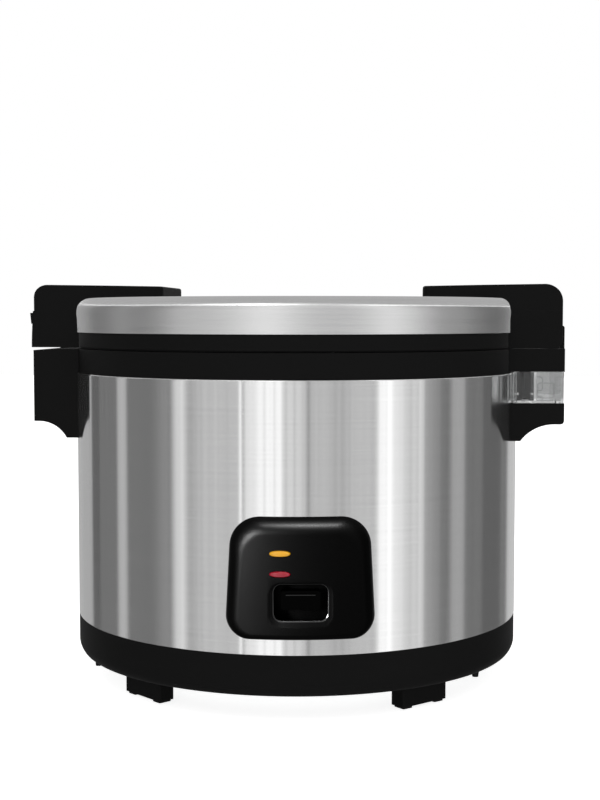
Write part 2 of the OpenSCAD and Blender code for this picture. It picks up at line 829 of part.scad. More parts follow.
module lamp_holder() {
    y = -drum_r + 4;
    color("#e8e4d8") at_panel() difference() {
        low = pocket_z + pocket_h + 3;
        translate([-lens_left - 12, y, low]) cube([24, 5, amber_z + 7 - low]);
        for (z = [amber_z, red_z]) translate([-lens_left, y - 1, z]) rotate([-90, 0, 0])
            cylinder(r = 2.5, h = 7);
    }
}

// ---------------------------------------------------------------- power inlet

module power_inlet() {
    face = drum_r + 8;
    color("#151515") difference() {
        union() {
            difference() {
                translate([0, drum_r - 8, inlet_z - 6]) rotate([-90, 0, 0]) mirror([0, 1, 0])
                    linear_extrude(face - drum_r + 8) rounded_box(inlet_w, inlet_h, 5);
                translate([0, 0, inlet_z - 20]) cylinder(r = drum_r, h = inlet_h + 40);
            }
            translate([0, drum_r - 16, inlet_z]) rotate([-90, 0, 0]) mirror([0, 1, 0])
                linear_extrude(20) rounded_box(inlet_w - 12.6, inlet_h - 12.6, 2);
        }
        translate([0, drum_r - 14, inlet_z + 4]) rotate([-90, 0, 0]) mirror([0, 1, 0])
            linear_extrude(40) rounded([[-14, 0], [14, 0], [14, 14], [9, 21], [-9, 21], [-14, 14]],
                                       [2, 2, 2, 2, 2, 2]);
        inlet_pins();
    }
}

module inlet_pins() {
    color("#c8c8c8") for (p = [[-7, 6], [0, 14], [7, 6]])
        translate([p[0] - 1, drum_r - 16, inlet_z + p[1]]) cube([2, 16, 4]);
}

// ---------------------------------------------------------------- body handles

// Plan of a handle block in X and Y, reaching to x
module block_plan(x, r) {
    w = handle_w / 2;
    rounded([[drum_r - 40, -w], [x, -w], [x, w], [drum_r - 40, w]], [0, r, r, 0]);
}

// Grip section: flat bottom, hollow arc and outer edge, up to z
module grip_outline(x, z, arc_x, r, corner_r) {
    low = grip_floor;
    edge = low + grip_rise;
    difference() {
        rounded([[drum_r - 40, low], [x, low], [x, z], [drum_r - 40, z]], [0, 0, 0, 0]);
        translate([arc_x, edge - r]) circle(r);
        translate([arc_x, low - 1]) square([60, grip_rise + 1]);
        if (corner_r > 0) translate([x - corner_r, edge]) difference() {
            square(corner_r + 1);
            translate([0, corner_r]) circle(corner_r);
            translate([-1, corner_r]) square(corner_r + 3);
        }
    }
}

module finger_pocket(x0, x1, top) {
    translate([x0, -handle_w / 2 + 10, grip_floor - 30])
        cube([x1 - x0, handle_w - 20, top - grip_floor + 30]);
}

module left_handle() {
    arc_x = left_x - 5.6;
    pocket_top = grip_floor + 48;
    color("#181818") mirror([1, 0, 0]) difference() {
        intersection() {
            along_y(handle_w) difference() {
                grip_outline(left_x, left_top, arc_x, grip_r, 0);
                polygon([[left_x - 22, left_top], [left_x + 5, left_top - 1.5],
                         [left_x + 5, left_top + 9], [left_x - 22, left_top + 9]]);
            }
            linear_extrude(drum_top + 60) block_plan(left_x, 4);
        }
        body_core();
        finger_pocket(drum_r + 4, left_x - 5, pocket_top);
        translate([strike_x - strike_d, -hook_w / 2 - 4, hook_z - 8])
            cube([left_x - wall - strike_x + strike_d, hook_w + 8, left_top]);
        mirror([1, 0, 0]) screw_holes(-1);
    }
}

// Steel catch under the left handle's top, with a folded edge beside the hook
module strike_plate() {
    plate_w = hook_w + 6;
    color("#b5b7b8") mirror([1, 0, 0]) difference() {
        union() {
            translate([strike_x - strike_d, -plate_w / 2, strike_z])
                cube([strike_d, plate_w, 1.5]);
            translate([strike_x - strike_d, -plate_w / 2, strike_z - 10])
                cube([1.5, plate_w, 10.5]);
        }
        for (s = [-1, 1]) translate([strike_x - strike_d - 1, s * 7, strike_z - 5])
            rotate([0, 90, 0]) cylinder(r = 1.2, h = 4);
    }
}

module right_handle() {
    arc_x = right_x - 8.5;
    color("#181818") difference() {
        intersection() {
            along_y(handle_w) grip_outline(right_x, bay_z, arc_x, 35.3, 3.5);
            linear_extrude(drum_top + 60) block_plan(right_x, 4);
        }
        body_core();
        finger_pocket(drum_r + 5, right_x - 9, bay_z - 8);
        screw_holes(1);
    }
}

module handle_screws() {
    color("#8a8a8a") for (p = screw_places) {
        skin_r = p[2] > drum_top ? ring_r - wall : drum_in;
        inside = sqrt(skin_r ^ 2 - (abs(p[1]) + 3.4) ^ 2);
        mirror([p[0] < 0 ? 1 : 0, 0, 0]) {
            rod_x(3.4, inside - 2.2, inside, p[1], p[2]);
            rod_x(1.9, inside - 0.1, drum_r + 3, p[1], p[2]);
        }
    }
}

// ---------------------------------------------------------------- hinge and water cup

module at_pin() {
    translate([pin_x, pin_z]) children();
}

// Section of the outer wall that stands behind the hinge
module housing_wall_outline() {
    top = pin_z + wall_up;
    rounded([[wall_in, bay_top], [right_x, bay_top], [right_x, top], [wall_in, top]],
            [0, 0, wall_edge_r, 0.6]);
}

module hinge_housing() {
    wall_w = 2 * (bay_half - run_gap);
    color("#171717") difference() {
        union() {
            difference() {
                intersection() {
                    along_y(handle_w) translate([drum_r - 40, bay_top])
                        square([right_x - drum_r + 40, seam_z - run_gap / 2 - bay_top]);
                    linear_extrude(ring_top + 60) block_plan(right_x, 3);
                }
                body_core();
            }
            along_y(wall_w) housing_wall_outline();
            for (s = [-1, 1]) translate([0, s * (bay_half - run_gap - ear_t / 2), 0])
                along_y(ear_t) at_pin() {
                    circle(ear_r);
                    translate([-ear_r, -cheek_r - 1]) square([2 * ear_r, cheek_r + 1]);
                }
        }
        rod_y(pin_r + fit_gap, -handle_w / 2, handle_w / 2, pin_x, pin_z);
        screw_holes(1);
    }
}

module hinge_pin() {
    color("#b8b8b8") rod_y(pin_r, -handle_w / 2 + 2, handle_w / 2 - 0.5, pin_x, pin_z);
}

module hinge_springs() {
    start = bay_half - run_gap - ear_t - 1;
    color("#9a9a9a") for (s = [-1, 1]) translate([pin_x, s * start, pin_z])
        rotate([s > 0 ? 90 : -90, 0, 0]) coil(pin_r + 1.3, 0.8, spring_l, 6);
}

module water_cup() {
    top = bay_top - run_gap;
    low = bay_z + run_gap;
    face = right_x - 0.8;
    tank_x = drum_r + 14;           // inner wall of the tank
    w = handle_w / 2 - 1;
    rib = 0.6;                      // how far the upright ribs stand out of both sides
    color([0.85, 0.9, 0.93, 0.4]) difference() {
        intersection() {
            translate([drum_r - 20, -w, low]) cube([face - drum_r + 20, 2 * w, top - low]);
            linear_extrude(drum_top + 60) block_plan(face, 3);
        }
        translate([0, 0, low - 1]) cylinder(r = drum_r + 1, h = top - low + 2);
        translate([tank_x, -w + cup_t, low + cup_t])
            cube([face - cup_t - tank_x, 2 * w - 2 * cup_t, top]);
        translate([drum_r - 30, -w + cup_t + 4, low + cup_t])
            cube([tank_x - cup_t - drum_r + 30, 2 * w - 2 * cup_t - 8, top]);
    }
    color([0.85, 0.9, 0.93, 0.4]) for (s = [-1, 1], x = [drum_r - 4.6, drum_r + 2.1])
        translate([x, s * (w + rib / 2 - 0.2) - rib / 2 - 0.2, low + 1])
            cube([1.6, rib + 0.4, top - low - 2]);
}

// ---------------------------------------------------------------- lid

module lid_ring() {
    color("#141414") rotate_extrude() {
        strip(ring_r - wall, ring_r, lid_z, cap_z);
        strip(rim_r - 6, ring_r, lid_z, lid_z + 2.5);
        strip(lip_r - collar_t, lip_r, cap_z, cap_z + 5);
    }
}

module lid_cap() {
    color("#b9bbbd") rotate_extrude() difference() {
        cap_outline(0);
        cap_outline(sheet_t);
        strip(-1, vent_r + 1.2, lid_rim - 10, lid_top + 5);
    }
}

module lid_pan() {
    color("#c2c4c5") ring(vent_tube_r + run_gap, ring_r - 9, lid_z + 2.5, lid_z + 3.5);
}

module inner_lid() {
    color("#c6c8c9") difference() {
        ring(vent_tube_r, rim_r - 3, plate_low, lid_z - 0.1);
        for (a = [0 : 60 : 300]) rotate([0, 0, a])
            translate([40, 0, plate_low - 1]) cylinder(r = 3, h = 4);
    }
}

module lid_gasket() {
    color("#d9d9d4") ring(pot_r - 5, rim_r - 1, rim_z + pot_t + run_gap, plate_low);
}

module lid_insulation() {
    color("#d8cfa0") ring(vent_r + 12, ring_r - 12, lid_z + 4.5, lid_rim - 8);
}

module vent_tube() {
    dish = vent_r + 1.2;
    color("#1a1a1a") rotate_extrude() {
        strip(vent_tube_r - 2, vent_tube_r, plate_low, lid_top - 10);
        strip(vent_tube_r - 2, vent_tube_r + 5, plate_low - 1.2, plate_low);
        strip(vent_tube_r - 2, dish, lid_top - 11.5, lid_top - 9.5);
        strip(dish - 1.5, dish, lid_top - 11, lid_top + 0.8);
        strip(dish - 1.5, dish + 3, lid_top, lid_top + 0.8);
    }
}

module vent_cap() {
    r = vent_r - 0.7;
    color("#1a1a1a") difference() {
        rotate_extrude() {
            rounded([[0, lid_top - 1], [r, lid_top - 1], [r, lid_top + 0.9], [0, lid_top + 0.9]],
                    [0, 0, 1, 0]);
            strip(r - 2, r, lid_top - 9.2, lid_top);
        }
        for (a = [0 : 60 : 300]) rotate([0, 0, a])
            translate([6, -1.2, lid_top - 3]) cube([9, 2.4, 6]);
    }
}

// ---------------------------------------------------------------- lid arms

// Plan of an arm from its block to its narrower inner end
module arm_plan(x, r, inset) {
    w = handle_w / 2 - inset;
    t = arm_tip_w / 2 - inset;
    rounded([[arm_in + inset, -t], [drum_r - 30, -w], [x - inset, -w], [x - inset, w],
             [drum_r - 30, w], [arm_in + inset, t]], [7, 0, r, r, 0, 7]);
}

// Section of an arm's cover: reach x_top at the top and x_low at the parting line, corner radius r
module arm_section(x_low, x_top, r, inset) {
    rounded([[arm_in - 5, arm_line - 1], [x_low - inset, arm_line - 1],
             [x_top - inset, arm_top - inset], [arm_in - 5, arm_top - arm_fall - inset]],
            [0, 0, r - inset, 0]);
}

module arm_cover(x_low, x_top, r) {
    difference() {
        intersection() {
            along_y(handle_w) difference() {
                arm_section(x_low, x_top, r, 0);
                translate([0, arm_line - 20]) square([400, 20]);
            }
            linear_extrude(arm_top + 10) arm_plan(x_low, 5, 0);
        }
        intersection() {
            along_y(handle_w) arm_section(x_low, x_top, r, wall);
            linear_extrude(arm_top + 10) arm_plan(x_low, 3, wall);
        }
        lid_core();
    }
}

module left_arm_cover() {
    color("#181818") mirror([1, 0, 0])
        arm_cover(arm_left_low, drum_r + arm_left_reach, arm_corner_r);
}

module right_arm_cover() {
    color("#181818") arm_cover(arm_right_x, arm_right_x, hinge_corner_r);
}

module left_arm_base() {
    out_low = arm_left_low + 2.3;
    tab_z = tab_mid - tab_h / 2;
    color("#181818") mirror([1, 0, 0]) difference() {
        intersection() {
            along_y(handle_w) polygon([[drum_r - 30, left_low], [out_low, left_low],
                [arm_left_low, arm_line], [drum_r - 30, arm_line]]);
            linear_extrude(arm_top + 10) block_plan(out_low, 5);
        }
        lid_core();
        translate([drum_r + wall, -handle_w / 2 + wall, left_low + wall])
            cube([arm_left_low - drum_r - 2 * wall, handle_w - 2 * wall, 60]);
        translate([strike_x - 1, -hook_w / 2 - 2, left_low - 5])
            cube([left_x - wall - strike_x + 1, hook_w + 4, 20]);
        translate([arm_left_low - 10, -tab_w / 2 - run_gap, tab_z - 1])
            cube([20, tab_w + 2 * run_gap, 40]);
    }
    color("#181818") mirror([1, 0, 0]) for (s = [-1, 1]) difference() {
        translate([latch_x - 4, s * (latch_half + 2) - 1.5, left_low + wall - 0.5])
            cube([8, 3, latch_z + 4 - left_low - wall + 0.5]);
        rod_y(latch_pin_r + fit_gap, -latch_half - 8, latch_half + 8, latch_x, latch_z);
    }
}

module latch_lever() {
    t = latch_t / 2;
    tab_x = arm_left_low + 5.3;
    color("#181818") mirror([1, 0, 0]) difference() {
        union() {
            along_y(hook_w) {
                translate([latch_x - t, hook_z]) square([2 * t, tab_mid - hook_z]);
                translate([latch_x, latch_z]) circle(latch_pin_r + 2);
                polygon([[latch_x, hook_z], [latch_x - nose_in, hook_z + 1.5],
                         [latch_x - nose_in, hook_z + 4], [latch_x, hook_z + 4]]);
            }
            along_y(tab_w) polygon([[latch_x - t, tab_mid - tab_h / 2], [tab_x - 1.8, tab_mid - tab_h / 2],
                [tab_x, tab_mid + tab_h / 2], [latch_x - t, tab_mid + tab_h / 2]]);
        }
        rod_y(latch_pin_r + pin_gap, -hook_w, hook_w, latch_x, latch_z);
    }
}

module latch_pin() {
    color("#b8b8b8") mirror([1, 0, 0])
        rod_y(latch_pin_r, -latch_half - 3.5, latch_half + 13, latch_x, latch_z);
}

// Torsion spring wound round the free end of the latch pin
module latch_spring() {
    color("#9a9a9a") translate([-latch_x, latch_half + 4, latch_z]) rotate([-90, 0, 0])
        coil(latch_pin_r + 0.9, 0.5, 8, 6);
}

module right_arm_base() {
    low = seam_z + run_gap / 2;
    // Hollow that clears the hinge ears and the outer wall while the lid turns
    bay = 2 * bay_half;
    color("#181818") difference() {
        intersection() {
            along_y(handle_w) rounded([[drum_r - 30, low], [arm_right_x, low],
                [arm_right_x, arm_line], [drum_r - 30, arm_line]], [0, cheek_r, 0, 0]);
            linear_extrude(arm_top + 10) block_plan(arm_right_x, 5);
        }
        lid_core();
        along_y(bay) at_pin() {
            circle(sweep_r);
            translate([0, -20]) square([40, 20]);
            translate([ear_r, -20]) square([40, 20 + wall_up + 4 * run_gap]);
        }
        rod_y(pin_r + pin_gap, -handle_w / 2 + 1.5, handle_w / 2 + 1, pin_x, pin_z);
    }
}

module lid_screws() {
    color("#8a8a8a") for (x = [-drum_r + 10, drum_r - 10], y = [-30, 30])
        translate([x, y, lid_z + 2.5]) cylinder(r = 2, h = 8);
}

base_ring();
feet();
foot_pads();
bottom_cover();
base_screws();
cover_screws();
outer_shell();
upper_ring();
inner_shell();
insulation();
side_heater();
heating_plate();
heater_terminals();
sensor_cap();
sensor_ferrite();
sensor_spring();
sensor_housing();
pull_rod();
pull_magnet();
switch_lever();
switch_key();
switch_pin();
switch_bracket();
micro_switch();
thermal_fuse();
terminal_block();
inner_pot();
control_panel();
keep_warm_lens();
cooking_lens();
lamp_holder();
power_inlet();
inlet_pins();
left_handle();
right_handle();
handle_screws();
strike_plate();
hinge_housing();
hinge_pin();
hinge_springs();
water_cup();
lid_ring();
lid_cap();
lid_pan();
inner_lid();
lid_gasket();
lid_insulation();
vent_tube();
vent_cap();
left_arm_cover();
left_arm_base();
right_arm_cover();
right_arm_base();
latch_lever();
latch_pin();
latch_spring();
lid_screws();
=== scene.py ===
"""Looks of a large rice cooker: steel drum and lid, black mouldings, clear water cup and lamps.

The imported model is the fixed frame. Each operator makes one piece or a group of like pieces on it,
finishes the pieces that stay as they are, or sets the stage.
"""

import json
import math

import bmesh
import bpy
from bpy.props import FloatProperty, FloatVectorProperty, PointerProperty
from mathutils import Matrix, Vector


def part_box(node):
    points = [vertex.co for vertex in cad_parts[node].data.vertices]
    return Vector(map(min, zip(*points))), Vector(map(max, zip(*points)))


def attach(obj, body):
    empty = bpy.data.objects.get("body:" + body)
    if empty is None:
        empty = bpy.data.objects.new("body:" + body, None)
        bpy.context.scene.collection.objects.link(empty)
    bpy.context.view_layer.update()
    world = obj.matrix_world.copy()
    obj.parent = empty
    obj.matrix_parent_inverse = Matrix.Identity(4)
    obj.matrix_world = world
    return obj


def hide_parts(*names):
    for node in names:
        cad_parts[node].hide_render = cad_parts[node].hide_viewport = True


bl_info = {
    "name": "Rice Cooker Finish",
    "version": (1, 0, 0),
    "blender": (4, 5, 0),
    "location": "3D View > Sidebar > Rice Cooker",
    "description": "Dresses the frame of a large rice cooker with its finished pieces",
    "category": "Object",
}

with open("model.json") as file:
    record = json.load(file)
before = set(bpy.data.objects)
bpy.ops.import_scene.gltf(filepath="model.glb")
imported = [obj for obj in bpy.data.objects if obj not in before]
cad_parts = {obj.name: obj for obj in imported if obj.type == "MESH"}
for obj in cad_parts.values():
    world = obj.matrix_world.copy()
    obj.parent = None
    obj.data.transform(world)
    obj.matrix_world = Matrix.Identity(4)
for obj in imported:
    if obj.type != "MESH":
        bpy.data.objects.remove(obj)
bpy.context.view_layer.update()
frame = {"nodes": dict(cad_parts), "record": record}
MM = 0.001


# ---------------------------------------------------------------- sizes from the frame


def span(node):
    """Lowest and highest corner of a frame node, in millimetres."""
    low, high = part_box(node)
    return low / MM, high / MM


def middle_height(node):
    low, high = span(node)
    return (low.z + high.z) / 2


DRUM_LOW, DRUM_HIGH = span("outer_shell")
RING_LOW, RING_HIGH = span("upper_ring")
LID_RING_LOW, LID_RING_HIGH = span("lid_ring")
CAP_LOW, CAP_HIGH = span("lid_cap")
BASE_LOW, BASE_HIGH = span("base_ring")
KEY_LOW, KEY_HIGH = span("switch_key")
PANEL_LOW, PANEL_HIGH = span("control_panel")

DRUM_R = DRUM_HIGH.x
RING_R = RING_HIGH.x
KEY_MID = (KEY_LOW + KEY_HIGH) / 2
PANEL_TURN = math.atan2(KEY_MID.x, -KEY_MID.y)

# How far the panel's face stands in front of the drum, and how far its lamps sit from its middle
PANEL_BULGE = 9.0
LAMPS_ASIDE = -15.8
LENSES = {"keep_warm_lens": "amber_lens", "cooking_lens": "red_lens"}


# ---------------------------------------------------------------- settings


def linear(code):
    """Linear RGBA of an sRGB hex code."""
    parts = [int(code[i : i + 2], 16) / 255 for i in (1, 3, 5)]
    return tuple(c / 12.92 if c <= 0.04045 else ((c + 0.055) / 1.055) ** 2.4 for c in parts) + (1.0,)


def colour_prop(name, description, code):
    return FloatVectorProperty(
        name=name, description=description, subtype="COLOR", size=4, min=0, max=1, default=linear(code)
    )


def number_prop(name, description, value, **kind):
    return FloatProperty(name=name, description=description, default=value, min=0, **kind)


def length_prop(name, description, millimetres):
    return number_prop(name, description, millimetres * MM, unit="LENGTH", subtype="DISTANCE")


class CookerSizes(bpy.types.PropertyGroup):
    """Small sizes of the finished pieces."""

    bead: length_prop("Bead", "Radius of the rolled bead on the drum's upper edge", 1.2)
    edge: length_prop("Moulded edge", "Radius of the soft edges of the black mouldings", 0.7)
    lid_bulge: length_prop("Lid bulge", "How far the lid's side swells under its rounded edge", 1.0)
    lens_crown: length_prop("Lens crown", "How far a lamp lens stands proud of the panel", 0.8)


class CookerColours(bpy.types.PropertyGroup):
    """Colours of the materials."""

    steel: colour_prop("Steel", "Brushed stainless steel", "#dedede")
    black: colour_prop("Black moulding", "Satin black plastic", "#0e0e0e")
    panel: colour_prop("Panel", "Smooth black plastic of the panel", "#000000")
    amber: colour_prop("Amber lens", "Lens of the upper lamp", "#f0ae1c")
    red: colour_prop("Red lens", "Lens of the lower lamp", "#b3122f")
    clear: colour_prop("Clear plastic", "Water cup", "#dcdddd")


class StudioSettings(bpy.types.PropertyGroup):
    """Light and floor."""

    fill: number_prop("Fill", "Level of the soft light from all sides", 0.6)
    strips: number_prop("Strips", "Strength of the studio's strip lights", 1.0)
    top: number_prop("Top light", "Power of the soft light above", 9.0, unit="POWER")
    panel_top: number_prop("Panel top light", "Power of the lamp on its shoulder", 330.0, unit="POWER")
    panel_side: number_prop("Panel side light", "Power of the lamp on its left side", 75.0, unit="POWER")
    floor: colour_prop("Floor", "Pale floor", "#f4f4f4")


# ---------------------------------------------------------------- material helpers


def add_node(tree, kind, inputs=None, **settings):
    """Adds a node, sets its settings, and sets or links its inputs by name or number."""
    made = tree.nodes.new(kind)
    for name, value in settings.items():
        setattr(made, name, value)
    for name, value in (inputs or {}).items():
        if isinstance(value, bpy.types.NodeSocket):
            tree.links.new(value, made.inputs[name])
        else:
            made.inputs[name].default_value = value
    return made


def shader_of(material):
    return material.node_tree.nodes["Principled BSDF"]


def new_material(name):
    """A material with a Principled shader, its tree and the shader."""
    material = bpy.data.materials.new(name)
    material.use_nodes = True
    return material, material.node_tree, shader_of(material)


def brush_round(material, strength, turn):
    """Gives a metal scratches that run round the drum's axis.

    A turn of a quarter draws its reflections upright, and a turn of 0 draws them round the body.
    """
    tree = material.node_tree
    coords = add_node(tree, "ShaderNodeTexCoord").outputs["Object"]
    cross = add_node(tree, "ShaderNodeVectorMath", {0: (0.0, 0.0, 1.0), 1: coords}, operation="CROSS_PRODUCT")
    around = add_node(
        tree,
        "ShaderNodeVectorTransform",
        {"Vector": cross.outputs[0]},
        vector_type="VECTOR",
        convert_from="OBJECT",
        convert_to="WORLD",
    )
    shader = shader_of(material)
    shader.inputs["Anisotropic"].default_value = strength
    shader.inputs["Anisotropic Rotation"].default_value = turn
    tree.links.new(around.outputs[0], shader.inputs["Tangent"])


# ---------------------------------------------------------------- materials


def grained(name, dark, light, gloss, scale, relief, detail=3.0, metallic=0.0, level=0.5):
    """A material whose one fine pattern sets its colour, its gloss and its relief together.

    The colour runs from dark to light, the roughness between the two values of gloss, the pattern has
    scale features per metre along each axis and stands relief millimetres high.
    """
    material, tree, shader = new_material(name)
    shader.inputs["Metallic"].default_value = metallic
    shader.inputs["Specular IOR Level"].default_value = level
    coords = add_node(tree, "ShaderNodeTexCoord").outputs["Object"]
    placed = add_node(tree, "ShaderNodeMapping", {"Vector": coords, "Scale": scale}).outputs[0]
    pattern = add_node(
        tree, "ShaderNodeTexNoise", {"Vector": placed, "Scale": 1.0, "Detail": detail, "Roughness": 0.6}
    ).outputs["Fac"]
    tint = add_node(tree, "ShaderNodeMix", {"Factor": pattern, "A": dark, "B": light}, data_type="RGBA")
    rough = add_node(
        tree,
        "ShaderNodeMapRange",
        {"Value": pattern, "From Min": 0.3, "From Max": 0.7, "To Min": gloss[0], "To Max": gloss[1]},
    )
    bump = add_node(tree, "ShaderNodeBump", {"Height": pattern, "Distance": relief * MM, "Strength": 0.5})
    tree.links.new(tint.outputs["Result"], shader.inputs["Base Color"])
    tree.links.new(rough.outputs["Result"], shader.inputs["Roughness"])
    tree.links.new(bump.outputs["Normal"], shader.inputs["Normal"])
    return material


def even_grain(size_mm):
    """Scale of a pattern that is the same along all three axes, from the size of its grain."""
    return (1 / (size_mm * MM),) * 3


def shade(colour, factor):
    """A colour made darker or lighter."""
    return tuple(min(c * factor, 1.0) for c in colour[:3]) + (1.0,)


def brushed_steel(name, gloss, brush, turn):
    """Stainless sheet brushed round the body: fine level lines under long drawn-out reflections.

    The last three hundredths are not metal, for the haze that fine scratches leave in the darks.
    """
    colour = bpy.context.scene.cooker_colours.steel
    # Grit lines are 0.1 mm apart on the sheet; they are drawn 1 mm apart, as fine as still shows
    lines = (9.0, 9.0, 1000.0)
    material = grained(name, shade(colour, 0.91), shade(colour, 1.05), gloss, lines, 0.001, metallic=0.97)
    brush_round(material, brush, turn)
    return material


def rolled_steel():
    """Rolled sheet steel of hidden and inner pieces: even satin with faint rolling marks."""
    marks = (900.0, 30.0, 30.0)
    dark, light = linear("#a9abab"), linear("#c3c5c6")
    return grained("rolled_sheet_steel", dark, light, (0.28, 0.4), marks, 0.005, metallic=1.0)


def moulded(name, colour, roughness, grain_mm, relief, level):
    """Plastic, rubber or ferrite from a mould: an even satin skin with the mould's fine grain."""
    dark, light = shade(colour, 0.85), shade(colour, 1.15)
    gloss = (roughness - 0.05, roughness + 0.05)
    return grained(name, dark, light, gloss, even_grain(grain_mm), relief, level=level)


def bare_metal(name, code, roughness, grain_mm):
    """Plated, cast or turned metal: soft sheen with a fine random grain."""
    dark, light = linear(code), shade(linear(code), 1.25)
    gloss = (roughness - 0.06, roughness + 0.06)
    return grained(name, dark, light, gloss, even_grain(grain_mm), 0.01, detail=4.0, metallic=1.0)


def spun_aluminium():
    """Deep-drawn and spun pot: fine rings round the axis from the spinning tool."""
    rings = (8.0, 8.0, 900.0)
    dark, light = linear("#b5b7b8"), linear("#d2d4d5")
    material = grained("spun_aluminium", dark, light, (0.26, 0.36), rings, 0.006, metallic=1.0)
    brush_round(material, 0.6, 0.25)
    return material


def glass_wool():
    """Loose yellow fibre blanket: matt, with a tangled surface."""
    fibres = (700.0, 90.0, 500.0)
    return grained("glass_wool", linear("#b59f55"), linear("#e6d79a"), (0.9, 1.0), fibres, 1.5, detail=5.0)


def lens_plastic(name, colour, glow):
    """Tinted polycarbonate over a white well: clear and glossy, with a faint painted glow in place of the
    light that the well sends back through it.
    """
    flow = (300.0, 300.0, 1400.0)
    material = grained(name, shade(colour, 0.75), colour, (0.1, 0.14), flow, 0.0, detail=2.0)
    shader = shader_of(material)
    # Painted glow: the lens shines by emission in place of the light that its white well sends back through
    # it
    shader.inputs["Emission Color"].default_value = colour
    shader.inputs["Emission Strength"].default_value = glow
    shader.inputs["Coat Weight"].default_value = 0.5
    shader.inputs["Coat Roughness"].default_value = 0.05
    return material


def clear_plastic(colour):
    """Clear moulded styrene: see-through walls with faint flow lines, and greyish where it is thick."""
    material = grained("clear_styrene", colour, colour, (0.03, 0.06), (60.0, 60.0, 240.0), 0.01, detail=1.0)
    shader = shader_of(material)
    shader.inputs["Transmission Weight"].default_value = 1.0
    shader.inputs["IOR"].default_value = 1.57
    return material


class Finishes:
    """Makes each material once, by its slot name in the record, or by a name of its own here."""

    made = {}

    @classmethod
    def get(cls, slot):
        if slot not in cls.made:
            colours = bpy.context.scene.cooker_colours
            black, panel = colours.black, colours.panel
            makers = {
                # Crisp upright streaks on the drum, and a milky sheen with sideways ones on the lid
                "brushed_steel": (brushed_steel, "brushed_stainless_steel", (0.11, 0.16), 1.0, 0.25),
                "lid_steel": (brushed_steel, "satin_stainless_steel", (0.24, 0.26), 0.8, 0.0),
                "plain_steel": (rolled_steel,),
                # Bluish plated glints, and the warm ones of rolled brass
                "bright_steel": (bare_metal, "zinc_plated_steel", "#a8aaac", 0.3, 0.8),
                "brass": (bare_metal, "rolled_brass", "#b8934a", 0.28, 0.6),
                "aluminium": (spun_aluminium,),
                # Dull brown-black ceramic
                "ferrite": (moulded, "sintered_ferrite", linear("#2b2826"), 0.6, 0.5, 0.03, 0.4),
                # Even soft black with no highlight
                "black_plastic": (moulded, "moulded_polypropylene", black, 0.65, 0.35, 0.02, 0.1),
                # Deep black with soft glows on its shoulders, and clean bright lines where it is polished
                "gloss_black": (moulded, "moulded_abs", panel, 0.36, 0.5, 0.004, 0.03),
                "polished_black": (moulded, "polished_abs", panel, 0.2, 0.5, 0.0, 0.5),
                # Matt dark pads, a milky seal and cream heat-proof blocks
                "rubber": (moulded, "moulded_rubber", linear("#1b1b1c"), 0.75, 0.4, 0.05, 0.3),
                "silicone": (moulded, "moulded_silicone", linear("#d5d5cf"), 0.55, 0.8, 0.02, 0.35),
                "light_plastic": (moulded, "moulded_phenolic", linear("#d9d4c6"), 0.45, 0.5, 0.02, 0.4),
                "glass_wool": (glass_wool,),
                # Amber and red lenses, each with a faint painted glow as its last number
                "amber_lens": (lens_plastic, "amber_polycarbonate", colours.amber, 0.25),
                "red_lens": (lens_plastic, "red_polycarbonate", colours.red, 0.1),
                "clear_plastic": (clear_plastic, colours.clear),
            }
            maker, *settings = makers[slot]
            cls.made[slot] = maker(*settings)
        return cls.made[slot]


# ---------------------------------------------------------------- mesh helpers


def rounded_outline(corners, steps=6):
    """Points of an outline whose corners are (u, v, radius); round corners become arcs."""
    points = []
    count = len(corners)
    for i, (u, v, radius) in enumerate(corners):
        here = Vector((u, v))
        if radius <= 0:
            points.append(here)
            continue
        back = (Vector(corners[i - 1][:2]) - here).normalized()
        ahead = (Vector(corners[(i + 1) % count][:2]) - here).normalized()
        half = back.angle(ahead) / 2
        centre = here + (back + ahead).normalized() * radius / math.sin(half)
        first = here + back * radius / math.tan(half) - centre
        last = here + ahead * radius / math.tan(half) - centre
        turn = first.angle_signed(last)
        for k in range(steps + 1):
            arc = Matrix.Rotation(-turn * k / steps, 2) @ first
            points.append(centre + arc)
    return points


def rounded_box(left, right, low, high, corner):
    """Outline of an upright box with four equal corners."""
    return rounded_outline(
        [(left, low, corner), (right, low, corner), (right, high, corner), (left, high, corner)]
    )


def upright_at(y):
    """Places an outline's points (u, v) in the upright plane at y."""
    return lambda u, v: (u, y, v)


def outline_edges(bm, points, place):
    """Adds an outline, each point placed in space by place(u, v), and returns its edges."""
    verts = [bm.verts.new(place(p[0], p[1])) for p in points]
    return [bm.edges.new((verts[i - 1], verts[i])) for i in range(len(verts))]


def bridge_rings(bm, rings):
    """Joins each ring of edges to the next one, and returns the faces."""
    faces = []
    for near, far in zip(rings, rings[1:]):
        faces += bmesh.ops.bridge_loops(bm, edges=near + far)["faces"]
    return faces


def lathe(corners, segments=256, steps=6):
    """Closed solid of revolution of an outline in radius and height."""
    bm = bmesh.new()
    outline_edges(bm, rounded_outline(corners, steps), upright_at(0))
    bmesh.ops.spin(
        bm,
        geom=bm.verts[:] + bm.edges[:],
        cent=(0, 0, 0),
        axis=(0, 0, 1),
        angle=2 * math.pi,
        steps=segments,
        use_merge=True,
    )
    bmesh.ops.remove_doubles(bm, verts=bm.verts, dist=0.0005)
    bmesh.ops.recalc_face_normals(bm, faces=bm.faces)
    return bm


def node_copy(name):
    """A merged copy of a frame node in millimetres, with its flat faces joined."""
    bm = bmesh.new()
    bm.from_mesh(frame["nodes"][name].data)
    bmesh.ops.scale(bm, verts=bm.verts, vec=(1 / MM,) * 3)
    bmesh.ops.remove_doubles(bm, verts=bm.verts, dist=0.002)
    bmesh.ops.dissolve_limit(
        bm, angle_limit=math.radians(0.4), use_dissolve_boundaries=False, verts=bm.verts, edges=bm.edges
    )
    return bm


